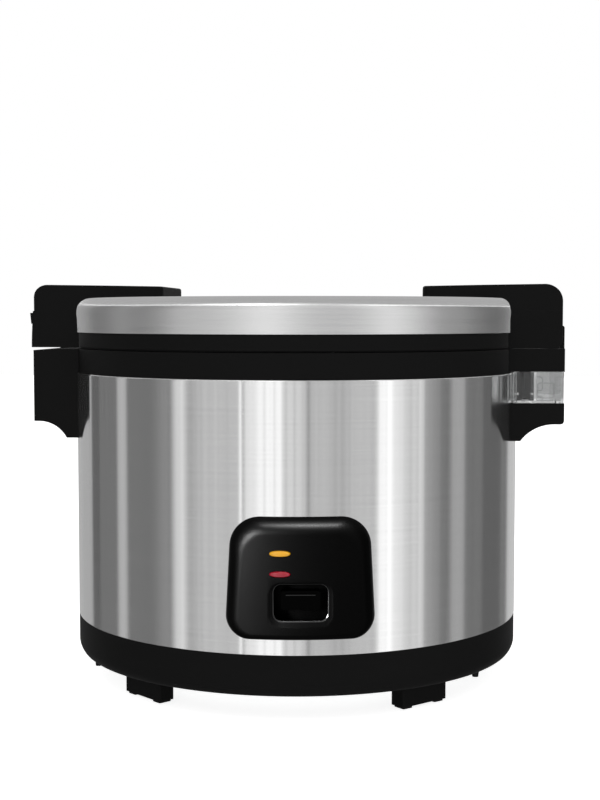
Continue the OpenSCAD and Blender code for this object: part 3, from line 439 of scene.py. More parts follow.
def round_edges(bm, edges, width, segments):
    bmesh.ops.bevel(
        bm,
        geom=edges,
        offset=width,
        offset_type="OFFSET",
        affect="EDGES",
        segments=segments,
        profile=0.5,
        material=-1,
        clamp_overlap=True,
    )


def soften(bm, width):
    """Rounds the sharp edges of a solid."""
    least = math.radians(28)
    round_edges(bm, [e for e in bm.edges if e.is_manifold and e.calc_face_angle(0) > least], width, 2)
    return bm


def turn_to_panel(bm):
    """Turns a mesh made at the front round the drum's axis, to the panel's bearing."""
    bmesh.ops.rotate(bm, verts=bm.verts, cent=(0, 0, 0), matrix=Matrix.Rotation(PANEL_TURN, 3, "Z"))


def finish_piece(bm, name, slot, body, replaces=(), sharp=32.0, finish=None):
    """Turns a solid in millimetres into a named piece on its body, with the material of its slot or the
    finish given.
    """
    bmesh.ops.scale(bm, verts=bm.verts, vec=(MM,) * 3)
    mesh = bpy.data.meshes.new(name)
    bm.to_mesh(mesh)
    bm.free()
    if not mesh.polygons:
        raise RuntimeError(f"{name} has no faces")
    mesh.shade_smooth()
    mesh.set_sharp_from_angle(angle=math.radians(sharp))
    mesh.materials.append(finish or Finishes.get(slot))
    piece = bpy.data.objects.new(name, mesh)
    bpy.context.scene.collection.objects.link(piece)
    # Broad faces keep their own direction, so the light turns only over the rounded edges
    even = piece.modifiers.new("even_shading", "WEIGHTED_NORMAL")
    even.keep_sharp = True
    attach(piece, body)
    if replaces:
        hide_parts(*replaces)
    return piece


# ---------------------------------------------------------------- operators


class COOKER_OT_drum(bpy.types.Operator):
    """Steel drum with its rolled bead, open behind the panel and the inlet"""

    bl_idname = "cooker.drum"
    bl_label = "Steel drum"
    bl_options = {"REGISTER", "UNDO"}

    # Windows behind the panel and the inlet: half the width, and how far the lower and upper edge lie
    # above the panel's two ends, or both above the drum's foot
    panel_window = (37, 5, -17)
    inlet_window = (20, 26, 58)

    def execute(self, context):
        bead = context.scene.cooker_sizes.bead / MM
        low, top = DRUM_LOW.z, DRUM_HIGH.z
        inner = DRUM_R - 0.8
        bm = lathe(
            [
                (DRUM_R, low, 0.3),
                (DRUM_R, top, bead * 0.98),
                (DRUM_R - 2 * bead, top, bead * 0.98),
                (DRUM_R - 2 * bead, top - 2 * bead, 0.3),
                (inner, top - 2 * bead, 0.3),
                (inner, low, 0),
            ],
            segments=288,
        )
        panel_turn = Matrix.Rotation(-PANEL_TURN, 3, "Z")
        half, over_low, over_high = self.panel_window
        self.open_wall(bm, panel_turn, -1, half, PANEL_LOW.z + over_low, PANEL_HIGH.z + over_high)
        half, over_low, over_high = self.inlet_window
        self.open_wall(bm, Matrix.Identity(3), 1, half, low + over_low, low + over_high)
        finish_piece(bm, "steel_drum", "brushed_steel", "cooker", ["outer_shell"])
        return {"FINISHED"}

    def open_wall(self, bm, turn, side, half, low, high):
        """Cuts a window in the wall on one side, before or behind the axis."""
        back = turn.transposed()
        for point, normal in (
            ((half, 0, 0), (1, 0, 0)),
            ((-half, 0, 0), (1, 0, 0)),
            ((0, 0, low), (0, 0, 1)),
            ((0, 0, high), (0, 0, 1)),
        ):
            near = [f for f in bm.faces if (turn @ f.calc_center_median()).y * side > DRUM_R * 0.8]
            geom = list({v for f in near for v in f.verts} | {e for f in near for e in f.edges}) + near
            bmesh.ops.bisect_plane(
                bm, geom=geom, dist=0.0001, plane_co=back @ Vector(point), plane_no=back @ Vector(normal)
            )
        inside = []
        for face in bm.faces:
            centre = turn @ face.calc_center_median()
            if centre.y * side > 0 and abs(centre.x) < half and low < centre.z < high:
                inside.append(face)
        bmesh.ops.delete(bm, geom=inside, context="FACES")
        rim = [e for e in bm.edges if e.is_boundary]
        bmesh.ops.bridge_loops(bm, edges=rim)


class COOKER_OT_rings(bpy.types.Operator):
    """Black base ring, upper ring and lid ring"""

    bl_idname = "cooker.rings"
    bl_label = "Black rings"
    bl_options = {"REGISTER", "UNDO"}

    def execute(self, context):
        self.base()
        self.upper()
        self.lid_ring()
        return {"FINISHED"}

    def base(self):
        """Base ring, whose side curves in towards its foot."""
        low, high = BASE_LOW.z, BASE_HIGH.z
        radius = BASE_HIGH.x
        opening, drum_seat, wall = 140, 191.5, 3
        drawn_in, curve_h, lowest = 4.3, 10.0, 1.2
        curve_r = (drawn_in**2 + curve_h**2) / (2 * drawn_in)
        bend = low + curve_h
        arc = []
        for k in range(9):
            z = low + lowest + (curve_h - lowest) * k / 8
            arc.append((radius - curve_r + math.sqrt(curve_r**2 - (bend - z) ** 2), z, 0))
        bm = lathe(
            [(opening, low, 0.8), (arc[0][0] - 1.5, low, 1.2)]
            + arc
            + [
                (radius, high, 0.8),
                (drum_seat, high, 0.4),
                (drum_seat, high - wall, 0),
                (radius - wall, high - wall, 0),
                (radius - wall, low + 14, 2),
                (radius - 2 * wall, low + wall, 3),
                (opening, low + wall, 0.8),
            ]
        )
        finish_piece(bm, "base_ring_moulding", "black_plastic", "cooker", ["base_ring"])

    def upper(self):
        """Upper ring, with its groove for the gasket and its step for the pot's rim."""
        low, high = RING_LOW.z + 8, RING_HIGH.z
        seat, well, skirt, wall = 177.0, 169.0, 187.2, 3
        rim = high - 3.5
        bm = lathe(
            [
                (RING_R, low, 0.6),
                (RING_R, high, 0.35),
                (seat + 9, high, 0.5),
                (seat + 9, high - 1.5, 0.5),
                (seat + 4, high - 1.5, 0.5),
                (seat + 4, high, 0.5),
                (seat, high, 0.9),
                (seat, rim, 1.2),
                (well, rim, 0.9),
                (well, rim - wall, 0.5),
                (seat + wall, rim - wall, 0),
                (seat + wall, high - wall, 0),
                (RING_R - wall, high - wall, 0),
                (RING_R - wall, low + wall, 0),
                (skirt, low + wall, 0),
                (skirt, low, 0),
            ]
        )
        finish_piece(bm, "upper_ring_moulding", "black_plastic", "cooker", ["upper_ring"])

    def lid_ring(self):
        """Ring under the cap, with a lip that closes the seam above the drum to the eye."""
        low, high = LID_RING_LOW.z, LID_RING_HIGH.z - 5
        opening, lip_in, lip_out, lip_h, web = 169, RING_R - 5, RING_R - 1.3, 1.1, 2.5
        bm = lathe(
            [
                (opening, low, 0.6),
                (lip_in, low, 0.3),
                (lip_in, low - lip_h, 0.3),
                (lip_out, low - lip_h, 0.3),
                (lip_out, low, 0.2),
                (RING_R, low, 0.35),
                (RING_R, high, 0.5),
                (RING_R - 3, high, 0),
                (RING_R - 3, low + web, 1),
                (opening, low + web, 0.6),
            ]
        )
        finish_piece(bm, "lid_ring_moulding", "black_plastic", "lid", ["lid_ring"])


class COOKER_OT_lid(bpy.types.Operator):
    """Steel lid cap with its rounded edge and its hole for the steam vent"""

    bl_idname = "cooker.lid"
    bl_label = "Steel lid"
    bl_options = {"REGISTER", "UNDO"}

    def execute(self, context):
        bulge = context.scene.cooker_sizes.lid_bulge / MM
        low, top = CAP_LOW.z, CAP_HIGH.z
        # The top rises from the rim's height at the side to the hole's edge
        rim, edge, soft_bend = 329.9, 12.0, 20
        side, hole, sheet = DRUM_R - 0.5, 22.2, 0.8
        bm = lathe(
            [
                (side, low, 0.35),
                (side + 0.2, rim - edge - 9, soft_bend),
                (side + bulge, rim - edge - 2, soft_bend),
                (side + bulge, rim, edge),
                (hole, top - 0.1, 0.5),
                (hole, top - 0.1 - sheet, 0),
                (side - sheet, rim - sheet, edge - sheet),
                (side - sheet, low, 0.35),
            ],
            segments=288,
            steps=12,
        )
        satin = Finishes.get("lid_steel")
        finish_piece(bm, "steel_lid", "brushed_steel", "lid", ["lid_cap"], sharp=40, finish=satin)
        return {"FINISHED"}


class COOKER_OT_blocks(bpy.types.Operator):
    """Handles, hinge housing and lid arms with soft moulded edges"""

    bl_idname = "cooker.blocks"
    bl_label = "Handles and arms"
    bl_options = {"REGISTER", "UNDO"}

    blocks = (
        ("left_handle", "cooker"),
        ("right_handle", "cooker"),
        ("hinge_housing", "cooker"),
        ("left_arm_base", "lid"),
        ("left_arm_cover", "lid"),
        ("right_arm_base", "lid"),
        ("right_arm_cover", "lid"),
        ("latch_lever", "latch"),
    )

    def execute(self, context):
        edge = context.scene.cooker_sizes.edge / MM
        for node, body in self.blocks:
            bm = node_copy(node)
            if node.endswith("arm_cover"):
                self.round_inner_end(bm)
            if node == "latch_lever":
                self.finger_tab(bm)
            piece = finish_piece(soften(bm, edge), node + "_moulding", "black_plastic", body, [node])
            # The satin lid is too soft a mirror to show what stands beside it
            piece.visible_glossy = not any(word in node for word in ("arm", "latch", "hinge"))
        return {"FINISHED"}

    def finger_tab(self, bm):
        """Widens the latch's tab to a finger plate outside the arm, narrower at its lower edge."""
        size = (2.9, 90, 9.6)
        middle_x, middle_z, slant = -230.1, 312.7, 0.9
        made = bmesh.ops.create_cube(bm, size=1)["verts"]
        bmesh.ops.scale(bm, verts=made, vec=size)
        for v in made:
            v.co.x += middle_x + (slant if v.co.z < 0 and v.co.x < 0 else 0)
            v.co.z += middle_z

    def round_inner_end(self, bm):
        """Rounds the edge round the top of an arm where it ends on the lid."""
        end_zone, top_zone = 20, 4
        top = max(v.co.z for v in bm.verts)
        nearest = min(abs(v.co.x) for v in bm.verts)
        edges = []
        for e in bm.edges:
            middle = (e.verts[0].co + e.verts[1].co) / 2
            outside = e.is_manifold and e.is_convex and e.calc_face_angle(0) > math.radians(40)
            if outside and abs(middle.x) < nearest + end_zone and middle.z > top - top_zone:
                edges.append(e)
        round_edges(bm, edges, 2.6, 4)


class COOKER_OT_panel(bpy.types.Operator):
    """Pillow-shaped control panel, bent round the drum, with its switch pocket and lamp holes"""

    bl_idname = "cooker.panel"
    bl_label = "Control panel"
    bl_options = {"REGISTER", "UNDO"}

    # Widths at the foot and the head, halved; corner radii there; and the pillow's own edge radii
    half_foot, half_head = 58.5, 53.5
    foot_corner, head_corner = 17, 24
    radii = {"low": 5.0, "side": 10.0, "top": 14.0}
    depths = (0, 2.5, 4.2, 5.6, 6.7, 7.5, 8.1, 8.5, 8.8, 8.95, PANEL_BULGE)

    # The pocket's rim in the face: half its width, its lower and upper end and its corner radius
    rim = (24.5, 78.2, 112.7, 9)
    # Its steps inwards, each like the rim and with its depth behind the face: a step, a dished border
    # whose inner edge is polished, a lip, room for the key's swing behind it, and the back
    polished_depth = 1.1
    steps = (
        (24.0, 78.8, 112.3, 8.6, 0.3),
        (21.4, 82.0, 111.4, 6.6, 0.65),
        (20.7, 82.9, 110.9, 6.0, polished_depth),
        (20.6, 83.0, 110.8, 5.9, 1.6),
        (20.6, 79.3, 110.8, 5.9, 2.8),
        (20.6, 79.3, 110.8, 5.9, 21),
    )
    hole_half_w, hole_half_h = 8.35, 2.75

    # Two soft lamps of the panel's own: place, width and height in metres
    top_lamp = ((0.25, -1.25, 1.75), 0.9, 0.16)
    side_lamp = ((-0.5, -1.05, 0.27), 0.25, 0.25)
    aim = (0.02, -0.2, 0.12)

    def drawn_in(self, side, depth):
        """How far the pillow's edge has drawn in at a depth in front of the drum."""
        radius = self.radii[side]
        up = depth - (PANEL_BULGE - radius)
        return radius - math.sqrt(radius**2 - up**2) if up > 0 else 0.0

    def outline(self, depth):
        low = PANEL_LOW.z + self.drawn_in("low", depth)
        high = PANEL_HIGH.z - self.drawn_in("top", depth)
        side = self.drawn_in("side", depth)
        shrink = side * 0.5
        return rounded_outline(
            [
                (side - self.half_foot, low, self.foot_corner - shrink),
                (self.half_foot - side, low, self.foot_corner - shrink),
                (self.half_head - side, high, self.head_corner - shrink),
                (side - self.half_head, high, self.head_corner - shrink),
            ],
            14,
        )

    def execute(self, context):
        bm = bmesh.new()
        rings = [outline_edges(bm, self.outline(depth), upright_at(depth)) for depth in self.depths]
        bridge_rings(bm, rings)
        face = upright_at(PANEL_BULGE)
        half, *outline = self.rim
        loops = [outline_edges(bm, rounded_box(-half, half, *outline), face)]
        for node in LENSES:
            loops.append(outline_edges(bm, self.lens_outline(middle_height(node)), face))
        bmesh.ops.triangle_fill(bm, use_beauty=True, edges=rings[-1] + [e for loop in loops for e in loop])
        self.pocket(bm, loops[0])
        for loop in loops[1:]:
            made = bmesh.ops.extrude_edge_only(bm, edges=loop)["geom"]
            deep = [g for g in made if isinstance(g, bmesh.types.BMVert)]
            bmesh.ops.translate(bm, verts=deep, vec=(0, -PANEL_BULGE - 3, 0))
        # Cut every 3 mm across, so that the flat pillow can be bent round the drum
        for x in range(-56, 57, 3):
            bmesh.ops.bisect_plane(
                bm,
                geom=bm.verts[:] + bm.edges[:] + bm.faces[:],
                dist=0.0001,
                plane_co=(x, 0, 0),
                plane_no=(1, 0, 0),
            )
        for v in bm.verts:
            v.co.y = -math.sqrt((DRUM_R + v.co.y) ** 2 - v.co.x**2)
        bmesh.ops.remove_doubles(bm, verts=bm.verts, dist=0.001)
        bmesh.ops.recalc_face_normals(bm, faces=bm.faces)
        turn_to_panel(bm)
        piece = finish_piece(bm, "panel_moulding", "gloss_black", "cooker", ["control_panel"], sharp=50)
        piece.data.materials.append(Finishes.get("polished_black"))
        # Its lamps draw out its shoulder and its left side
        studio = context.scene.cooker_studio
        own = bpy.data.collections.new("panel_lights")
        own.objects.link(piece)
        self.light("panel_top_light", self.top_lamp, studio.panel_top, own)
        self.light("panel_side_light", self.side_lamp, studio.panel_side, own)
        return {"FINISHED"}

    def light(self, name, lamp, power, lit):
        """An area light that shines on one collection alone."""
        data = bpy.data.lights.new(name, "AREA")
        data.shape = "RECTANGLE"
        place, data.size, data.size_y = lamp
        data.energy = power
        holder = bpy.data.objects.new(name, data)
        holder.location = place
        holder.rotation_euler = (Vector(self.aim) - Vector(place)).to_track_quat("-Z", "Y").to_euler()
        holder.visible_camera = False
        holder.light_linking.receiver_collection = lit
        bpy.context.scene.collection.objects.link(holder)

    def lens_outline(self, z):
        """The oval hole for a lamp lens."""
        points = []
        for degrees in range(0, 360, 12):
            a = math.radians(degrees)
            points.append((LAMPS_ASIDE + self.hole_half_w * math.cos(a), z + self.hole_half_h * math.sin(a)))
        return points

    def pocket(self, bm, last):
        """Sinks the switch pocket from its rim in the face, step by step."""
        for half, *outline, depth in self.steps:
            flat = upright_at(PANEL_BULGE - depth)
            ring = outline_edges(bm, rounded_box(-half, half, *outline), flat)
            for face in bridge_rings(bm, (last, ring)):
                face.material_index = 1 if depth == self.polished_depth else 0
            last = ring
        bmesh.ops.edgenet_fill(bm, edges=last)


class COOKER_OT_lamps(bpy.types.Operator):
    """Oval lamp lenses with crowned faces, and the lever key with its finger ridge"""

    bl_idname = "cooker.lamps"
    bl_label = "Lamps and key"
    bl_options = {"REGISTER", "UNDO"}

    # Half the lens's width and height, how full its oval is, and how deep it starts behind the face and
    # how tall it is under its crown
    half_w, half_h, fullness = 8.1, 2.3, 0.85
    lens_foot, lens_h = 2.0, 2.4
    # The ridge that a finger presses, across the key's face
    ridge_size = (22.8, 1.2, 0.9)
    ridge_place = (0, -198.6, 102.3)
    ridge_tilt = math.radians(26)

    def execute(self, context):
        crown = context.scene.cooker_sizes.lens_crown / MM
        for node, slot in LENSES.items():
            bm = self.lens(middle_height(node), DRUM_R + PANEL_BULGE - self.lens_foot, self.lens_h + crown)
            turn_to_panel(bm)
            finish_piece(bm, node + "_cover", slot, "cooker", [node])
        bm = bmesh.new()
        bmesh.ops.create_cube(bm, size=1)
        bmesh.ops.scale(bm, verts=bm.verts, vec=self.ridge_size)
        tilt = Matrix.Rotation(self.ridge_tilt, 3, "X")
        bmesh.ops.rotate(bm, verts=bm.verts, cent=(0, 0, 0), matrix=tilt)
        bmesh.ops.translate(bm, verts=bm.verts, vec=self.ridge_place)
        turn_to_panel(bm)
        polished = Finishes.get("polished_black")
        ridge = finish_piece(soften(bm, 0.2), "key_ridge", "gloss_black", "switch", finish=polished)
        ridge.visible_glossy = False
        bm = soften(node_copy("switch_key"), 0.35)
        finish_piece(bm, "switch_key_moulding", "gloss_black", "switch", ["switch_key"])
        return {"FINISHED"}

    def lens(self, z, back, height):
        """Full oval button with a crowned face, standing in its hole in the panel."""
        bm = bmesh.new()
        rings = []
        for step in range(9):
            turn = math.radians(11 * step)
            shrink, depth = math.cos(turn) ** 0.5, height * math.sin(turn)
            points = []
            for k in range(40):
                c, d = math.cos(k * math.pi / 20), math.sin(k * math.pi / 20)
                u = math.copysign(abs(c) ** self.fullness, c) * self.half_w * shrink
                v = math.copysign(abs(d) ** self.fullness, d) * self.half_h * shrink
                points.append((u + LAMPS_ASIDE, v + z))
            rings.append(outline_edges(bm, points, upright_at(-back - depth)))
        bridge_rings(bm, rings)
        for end in (rings[0], rings[-1]):
            bmesh.ops.edgenet_fill(bm, edges=end)
        bmesh.ops.recalc_face_normals(bm, faces=bm.faces)
        return bm


class COOKER_OT_cup(bpy.types.Operator):
    """Clear water cup with its window frames, and the black webs that guide it"""

    bl_idname = "cooker.cup"
    bl_label = "Water cup"
    bl_options = {"REGISTER", "UNDO"}

    # The window frame's outer ends, its corner, its width, how far it stands out of the wall and in it
    window_x, window_z, corner = (209.3, 224.0), (245.1, 258.6), 2.5
    frame_w, proud, sunk = 1.1, 0.5, -0.3
    wall_y = 57.0
    # The webs' length and thickness, their distance from the axis and from the cup's end
    web_long, web_thick, web_x, web_in = 10.0, 2.0, 199.5, 9.5
    # How much shorter than the cup they are, and how far their middle lies above the cup's
    web_short, web_up = 2.2, 1.9

    def execute(self, context):
        bm = soften(node_copy("water_cup"), 0.4)
        for side in (-1, 1):
            self.frame_on(bm, side)
        finish_piece(bm, "clear_cup", "clear_plastic", "cup", ["water_cup"])
        self.guides()
        return {"FINISHED"}

    def guides(self):
        """Two black webs that hang from the housing into the cup's trough and guide it."""
        low, high = span("water_cup")
        size = (self.web_long, self.web_thick, high.z - low.z - self.web_short)
        bm = bmesh.new()
        for side in (-1, 1):
            z = middle_height("water_cup") + self.web_up
            place = (self.web_x, side * (high.y - self.web_in), z)
            web = bmesh.ops.create_cube(bm, size=1)["verts"]
            bmesh.ops.scale(bm, verts=web, vec=size)
            bmesh.ops.translate(bm, verts=web, vec=place)
        finish_piece(soften(bm, 0.3), "cup_guides", "black_plastic", "cooker")

    def frame_on(self, bm, side):
        """A low rounded frame round the window of the tank, on the front or the back."""
        rings = []
        section = ((0, self.sunk), (0, self.proud), (self.frame_w, self.proud), (self.frame_w, self.sunk))
        for inset, lift in section:
            left, right = self.window_x[0] + inset, self.window_x[1] - inset
            low, high = self.window_z[0] + inset, self.window_z[1] - inset
            corner = self.corner - inset * 0.8
            points = rounded_box(left, right, low, high, corner)
            rings.append(outline_edges(bm, points, upright_at(side * (self.wall_y + lift))))
        bmesh.ops.recalc_face_normals(bm, faces=bridge_rings(bm, rings + rings[:1]))


class COOKER_OT_feet(bpy.types.Operator):
    """Moulded feet, drawn out towards the front and the back, with their pads"""

    bl_idname = "cooker.feet"
    bl_label = "Feet"
    bl_options = {"REGISTER", "UNDO"}

    # Each foot's half that points to the front or the back moves out along this bearing
    turn = math.radians(43)
    drawn_out, half_begins = 9.0, 5
    feet = (("feet", "foot_mouldings", "black_plastic"), ("foot_pads", "foot_pad_caps", "rubber"))

    def execute(self, context):
        for node, name, slot in self.feet:
            bm = node_copy(node)
            for v in bm.verts:
                across = math.copysign(math.cos(self.turn), -v.co.x)
                along = math.copysign(math.sin(self.turn), v.co.y)
                if v.co.x * across + v.co.y * along > self.half_begins:
                    v.co.x += self.drawn_out * across
                    v.co.y += self.drawn_out * along
            finish_piece(soften(bm, 0.4), name, slot, "cooker", [node])
        return {"FINISHED"}


class COOKER_OT_inside(bpy.types.Operator):
    """Spun pot, and the finishes of the pieces that stay as they are in the frame"""

    bl_idname = "cooker.inside"
    bl_label = "Inside pieces"
    bl_options = {"REGISTER", "UNDO"}

    def execute(self, context):
        self.pot()
        blackened = bare_metal("blackened_steel", "#1d1d1e", 0.45, 0.8)
        for node, finished in frame["nodes"].items():
            if finished.hide_render:
                continue
            slot = next(s["material_slot"] for s in frame["record"]["subparts"] if s["node"] == node)
            material = blackened if node == "base_screws" else Finishes.get(slot)
            for place in finished.material_slots:
                place.material = material
            if not finished.material_slots:
                finished.data.materials.append(material)
        return {"FINISHED"}

    def pot(self):
        low, high = span("inner_pot")
        radius, rim = 165.0, high.x
        wall, edge, rolled = 2.5, 24.0, 1.1
        bm = lathe(
            [
                (0, low.z, 0),
                (radius, low.z, edge),
                (radius, high.z - wall, 1.5),
                (rim, high.z - wall, rolled),
                (rim, high.z, rolled),
                (radius - wall, high.z, 2.5),
                (radius - wall, low.z + wall, edge - wall),
                (0, low.z + wall, 0),
            ],
            steps=8,
        )
        finish_piece(bm, "spun_pot", "aluminium", "pot", ["inner_pot"])


class COOKER_OT_stage(bpy.types.Operator):
    """Camera, floor, world and soft lights"""

    bl_idname = "cooker.stage"
    bl_label = "Stage"
    bl_options = {"REGISTER", "UNDO"}

    def execute(self, context):
        scene = context.scene
        self.camera(scene)
        self.floor(scene)
        self.world(scene)
        self.lamps(scene)
        scene.view_settings.view_transform = "Standard"
        return {"FINISHED"}

    # Eye in metres, and how far the view looks down and from the right, in degrees
    eye = (0.1105, -1.2292, 0.314)
    looks_down, from_right = 3.47, 5
    sensor_mm, lens_mm = 36.0, 61.74

    def camera(self, scene):
        data = bpy.data.cameras.new("view_camera")
        data.sensor_width = self.sensor_mm
        data.lens = self.lens_mm
        data.clip_end = 50.0
        holder = bpy.data.objects.new("view_camera", data)
        holder.location = self.eye
        holder.rotation_euler = (math.radians(90 - self.looks_down), 0, math.radians(self.from_right))
        scene.collection.objects.link(holder)
        scene.camera = holder

    # Half the floor's width in metres, and how much its pale paint glows to the camera alone
    floor_half = 6.0
    floor_glow = 0.85

    def floor(self, scene):
        bm = bmesh.new()
        bmesh.ops.create_grid(bm, x_segments=8, y_segments=8, size=self.floor_half)
        mesh = bpy.data.meshes.new("floor")
        bm.to_mesh(mesh)
        bm.free()
        ground = bpy.data.objects.new("floor", mesh)
        scene.collection.objects.link(ground)
        # Matt wall paint, rolled on: even and almost without gloss
        material, tree, shader = new_material("rolled_wall_paint")
        shader.inputs["Base Color"].default_value = scene.cooker_studio.floor
        shader.inputs["Roughness"].default_value = 0.9
        shader.inputs["Specular IOR Level"].default_value = 0.1
        path = add_node(tree, "ShaderNodeLightPath")
        glow = {0: path.outputs["Is Camera Ray"], 1: self.floor_glow}
        seen = add_node(tree, "ShaderNodeMath", glow, operation="MULTIPLY")
        shader.inputs["Emission Color"].default_value = (1, 1, 1, 1)
        tree.links.new(seen.outputs[0], shader.inputs["Emission Strength"])
        mesh.materials.append(material)
        ground.visible_glossy = False

    # Strip lights and dark panels round the object: bearing from the front towards the right, width and
    # soft edge in degrees, and level
    strips = (
        (-146, 40, 3, 0.27),
        (-120.5, 9, 2, -0.07),
        (-94.5, 7.5, 3, 0.37),
        (-66.5, 8, 3, 0.06),
        (-55.7, 7.5, 4, 0.48),
        (-33, 24, 8, 0.1),
        (-22.8, 1.1, 0.5, 0.8),
        (-11.4, 18, 1.5, 0.48),
        (-8.5, 12, 3, 0.26),
        (3, 12, 2, 0.31),
        (17.5, 9, 5, 0.08),
        (38, 14, 5, 0.1),
        (50, 8, 4, 0.76),
        (57.5, 6, 4, 0.24),
        (61, 18, 6, 0.3),
        (65, 9, 4, 0.08),
        (70.5, 3, 2, 0.3),
        (74, 14, 12, 0.2),
        (94.5, 10, 5, 0.26),
        (125, 20, 4, -0.07),
        (158, 24, 8, 0.4),
    )
    # Narrow dark seams between the wall panels: bearing, and depth
    seams = ((-10.8, 0.3), (-5.9, 0.3), (0.1, 0.18), (4.0, 0.22), (8.0, 0.18), (11.0, 0.2))
    seam_width, seam_soft = 1.0, 0.7
    # The wall behind them, brighter within a third of a turn: bearing, width, soft edge, level added
    # there, and level everywhere
    wall = (4, 120, 30, 0.37, 0.21)
    # Folds in the wall: how many in a radian, and the least and most that they leave of the level
    folds_per_radian, fold_least, fold_most = 6.0, 0.88, 1.12
    # Overhead: centre, width, soft edge, level inside and level added outside. The ceiling and the two
    # lamps lie at heights above the horizon, and the shade and the reach at bearings
    ceiling, ceiling_level = (90, 60, 8, 1.0, 0.0), 0.53
    long_lamp, lamp_shade = (52, 5, 3, 2.0, 0.0), (22, 42, 10, -1.0, 1.0)
    soft_box, box_reach = (56, 16, 6, 1.6, 0.0), (-26, 36, 18, 1.0, 0.0)

    def band(self, tree, angle, centre, width, soft, level, outside):
        """A level added between two soft edges round an angle in degrees, over the level outside."""
        offset = add_node(tree, "ShaderNodeMath", {0: angle, 1: math.radians(centre)}, operation="SUBTRACT")
        away = add_node(tree, "ShaderNodeMath", {0: offset.outputs[0]}, operation="ABSOLUTE")
        return add_node(
            tree,
            "ShaderNodeMapRange",
            {
                "Value": away.outputs[0],
                "From Min": math.radians((width - soft) / 2),
                "From Max": math.radians((width + soft) / 2),
                "To Min": level + outside,
                "To Max": outside,
            },
            interpolation_type="SMOOTHSTEP",
        ).outputs["Result"]

    def walls(self, tree, bearing, strength):
        """Level of the walls round the object, with their strip lights, seams and faint folds."""
        level = self.band(tree, bearing, *self.wall)
        bands = [(centre, width, soft, added * strength) for centre, width, soft, added in self.strips]
        bands += [(centre, self.seam_width, self.seam_soft, -depth) for centre, depth in self.seams]
        for each in bands:
            light = self.band(tree, bearing, *each, 0.0)
            level = add_node(tree, "ShaderNodeMath", {0: level, 1: light}, operation="ADD").outputs[0]
        turned = add_node(
            tree, "ShaderNodeMath", {0: bearing, 1: self.folds_per_radian}, operation="MULTIPLY"
        ).outputs[0]
        pattern = add_node(
            tree, "ShaderNodeTexNoise", {"W": turned, "Detail": 4.0, "Roughness": 0.7}, noise_dimensions="1D"
        ).outputs["Fac"]
        folds = add_node(
            tree,
            "ShaderNodeMapRange",
            {
                "Value": pattern,
                "From Min": 0.3,
                "From Max": 0.7,
                "To Min": self.fold_least,
                "To Max": self.fold_most,
            },
        ).outputs["Result"]
        return add_node(tree, "ShaderNodeMath", {0: level, 1: folds}, operation="MULTIPLY").outputs[0]

    def overhead(self, tree, bearing, up, level):
        """Adds an even ceiling, and a long thin lamp and a soft box that bend down on both sides."""
        half_turn = add_node(tree, "ShaderNodeMath", {0: bearing, 1: 0.5}, operation="MULTIPLY").outputs[0]
        bend = add_node(tree, "ShaderNodeMath", {0: half_turn}, operation="COSINE").outputs[0]
        raised = add_node(
            tree, "ShaderNodeMath", {0: up, 1: bend}, operation="DIVIDE", use_clamp=True
        ).outputs[0]
        height = add_node(tree, "ShaderNodeMath", {0: raised}, operation="ARCSINE").outputs[0]
        ceiling = self.band(tree, height, *self.ceiling)
        level = add_node(
            tree,
            "ShaderNodeMix",
            {"Factor": ceiling, "A": level, "B": self.ceiling_level},
            data_type="FLOAT",
        ).outputs["Result"]
        for lamp, where in ((self.long_lamp, self.lamp_shade), (self.soft_box, self.box_reach)):
            light = self.band(tree, height, *lamp)
            mask = self.band(tree, bearing, *where)
            level = add_node(
                tree, "ShaderNodeMath", {0: light, 1: mask, 2: level}, operation="MULTIPLY_ADD"
            ).outputs[0]
        return level

    def world(self, scene):
        """White to the camera and through clear plastic, the studio in reflections, else even light."""
        world = bpy.data.worlds.new("studio")
        scene.world = world
        world.use_nodes = True
        tree = world.node_tree
        tree.nodes.clear()
        coords = add_node(tree, "ShaderNodeTexCoord").outputs["Generated"]
        split = add_node(tree, "ShaderNodeSeparateXYZ", {"Vector": coords})
        forwards = add_node(tree, "ShaderNodeMath", {0: split.outputs["Y"], 1: -1.0}, operation="MULTIPLY")
        bearing = add_node(
            tree, "ShaderNodeMath", {0: split.outputs["X"], 1: forwards.outputs[0]}, operation="ARCTAN2"
        ).outputs[0]
        level = self.walls(tree, bearing, scene.cooker_studio.strips)
        level = self.overhead(tree, bearing, split.outputs["Z"], level)
        path = add_node(tree, "ShaderNodeLightPath")
        studio = add_node(tree, "ShaderNodeBackground", {"Color": level, "Strength": 1.0})
        fill = {"Color": (1, 1, 1, 1), "Strength": scene.cooker_studio.fill}
        soft = add_node(tree, "ShaderNodeBackground", fill)
        white = add_node(tree, "ShaderNodeBackground", {"Color": (1, 1, 1, 1), "Strength": 1.0})
        glossy = add_node(
            tree,
            "ShaderNodeMixShader",
            {0: path.outputs["Is Glossy Ray"], 1: soft.outputs[0], 2: studio.outputs[0]},
        )
        straight = add_node(
            tree,
            "ShaderNodeMath",
            {0: path.outputs["Is Camera Ray"], 1: path.outputs["Is Transmission Ray"]},
            operation="MAXIMUM",
        )
        shown = add_node(
            tree, "ShaderNodeMixShader", {0: straight.outputs[0], 1: glossy.outputs[0], 2: white.outputs[0]}
        )
        add_node(tree, "ShaderNodeOutputWorld", {"Surface": shown.outputs[0]})

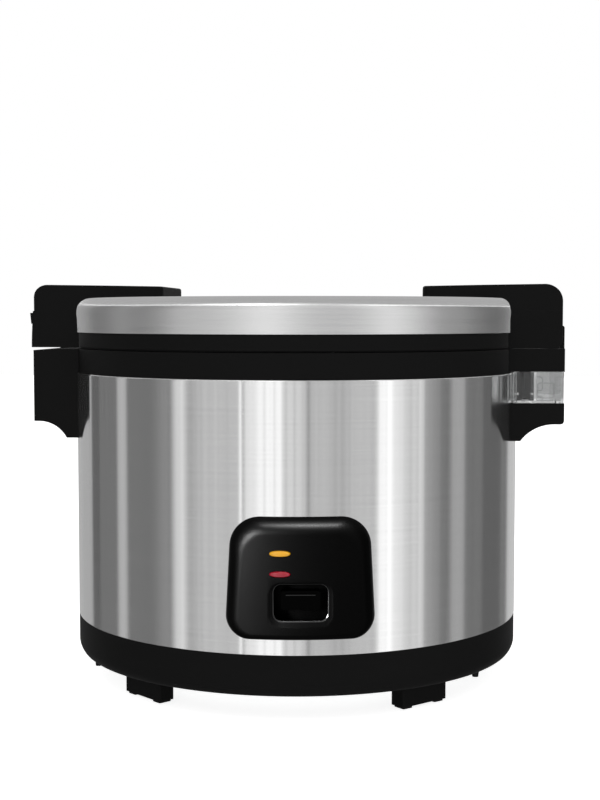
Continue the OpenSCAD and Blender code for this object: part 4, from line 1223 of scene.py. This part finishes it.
    # The soft light above, in metres: its place, the way it faces and its width
    lamp_place, lamp_faces, lamp_wide = (0.1, -0.6, 1.6), (-0.1, 0.6, -1.4), 1.2

    def lamps(self, scene):
        data = bpy.data.lights.new("top_light", "AREA")
        data.shape = "DISK"
        data.size = self.lamp_wide
        data.energy = scene.cooker_studio.top
        holder = bpy.data.objects.new("top_light", data)
        holder.location = self.lamp_place
        holder.rotation_euler = Vector(self.lamp_faces).to_track_quat("-Z", "Y").to_euler()
        holder.visible_glossy = False
        scene.collection.objects.link(holder)


class COOKER_PT_pieces(bpy.types.Panel):
    """Lists the operators and settings"""

    bl_idname = "COOKER_PT_pieces"
    bl_label = "Rice Cooker"
    bl_space_type = "VIEW_3D"
    bl_region_type = "UI"
    bl_category = "Rice Cooker"

    def draw(self, context):
        for operator in OPERATORS:
            self.layout.operator(operator.bl_idname)
        for group in ("cooker_sizes", "cooker_colours", "cooker_studio"):
            settings = getattr(context.scene, group)
            for name in settings.bl_rna.properties.keys():
                if name not in ("rna_type", "name"):
                    self.layout.prop(settings, name)


SETTINGS = {"cooker_sizes": CookerSizes, "cooker_colours": CookerColours, "cooker_studio": StudioSettings}
OPERATORS = (
    COOKER_OT_stage,
    COOKER_OT_drum,
    COOKER_OT_rings,
    COOKER_OT_lid,
    COOKER_OT_blocks,
    COOKER_OT_panel,
    COOKER_OT_lamps,
    COOKER_OT_cup,
    COOKER_OT_feet,
    COOKER_OT_inside,
)


def register():
    for made in (*SETTINGS.values(), *OPERATORS, COOKER_PT_pieces):
        bpy.utils.register_class(made)
    for name, group in SETTINGS.items():
        setattr(bpy.types.Scene, name, PointerProperty(type=group))


def unregister():
    for name in SETTINGS:
        delattr(bpy.types.Scene, name)
    for made in reversed((*SETTINGS.values(), *OPERATORS, COOKER_PT_pieces)):
        bpy.utils.unregister_class(made)


def main():
    register()
    for operator in OPERATORS:
        group, name = operator.bl_idname.split(".")
        getattr(getattr(bpy.ops, group), name)()


if __name__ == "__main__":
    main()
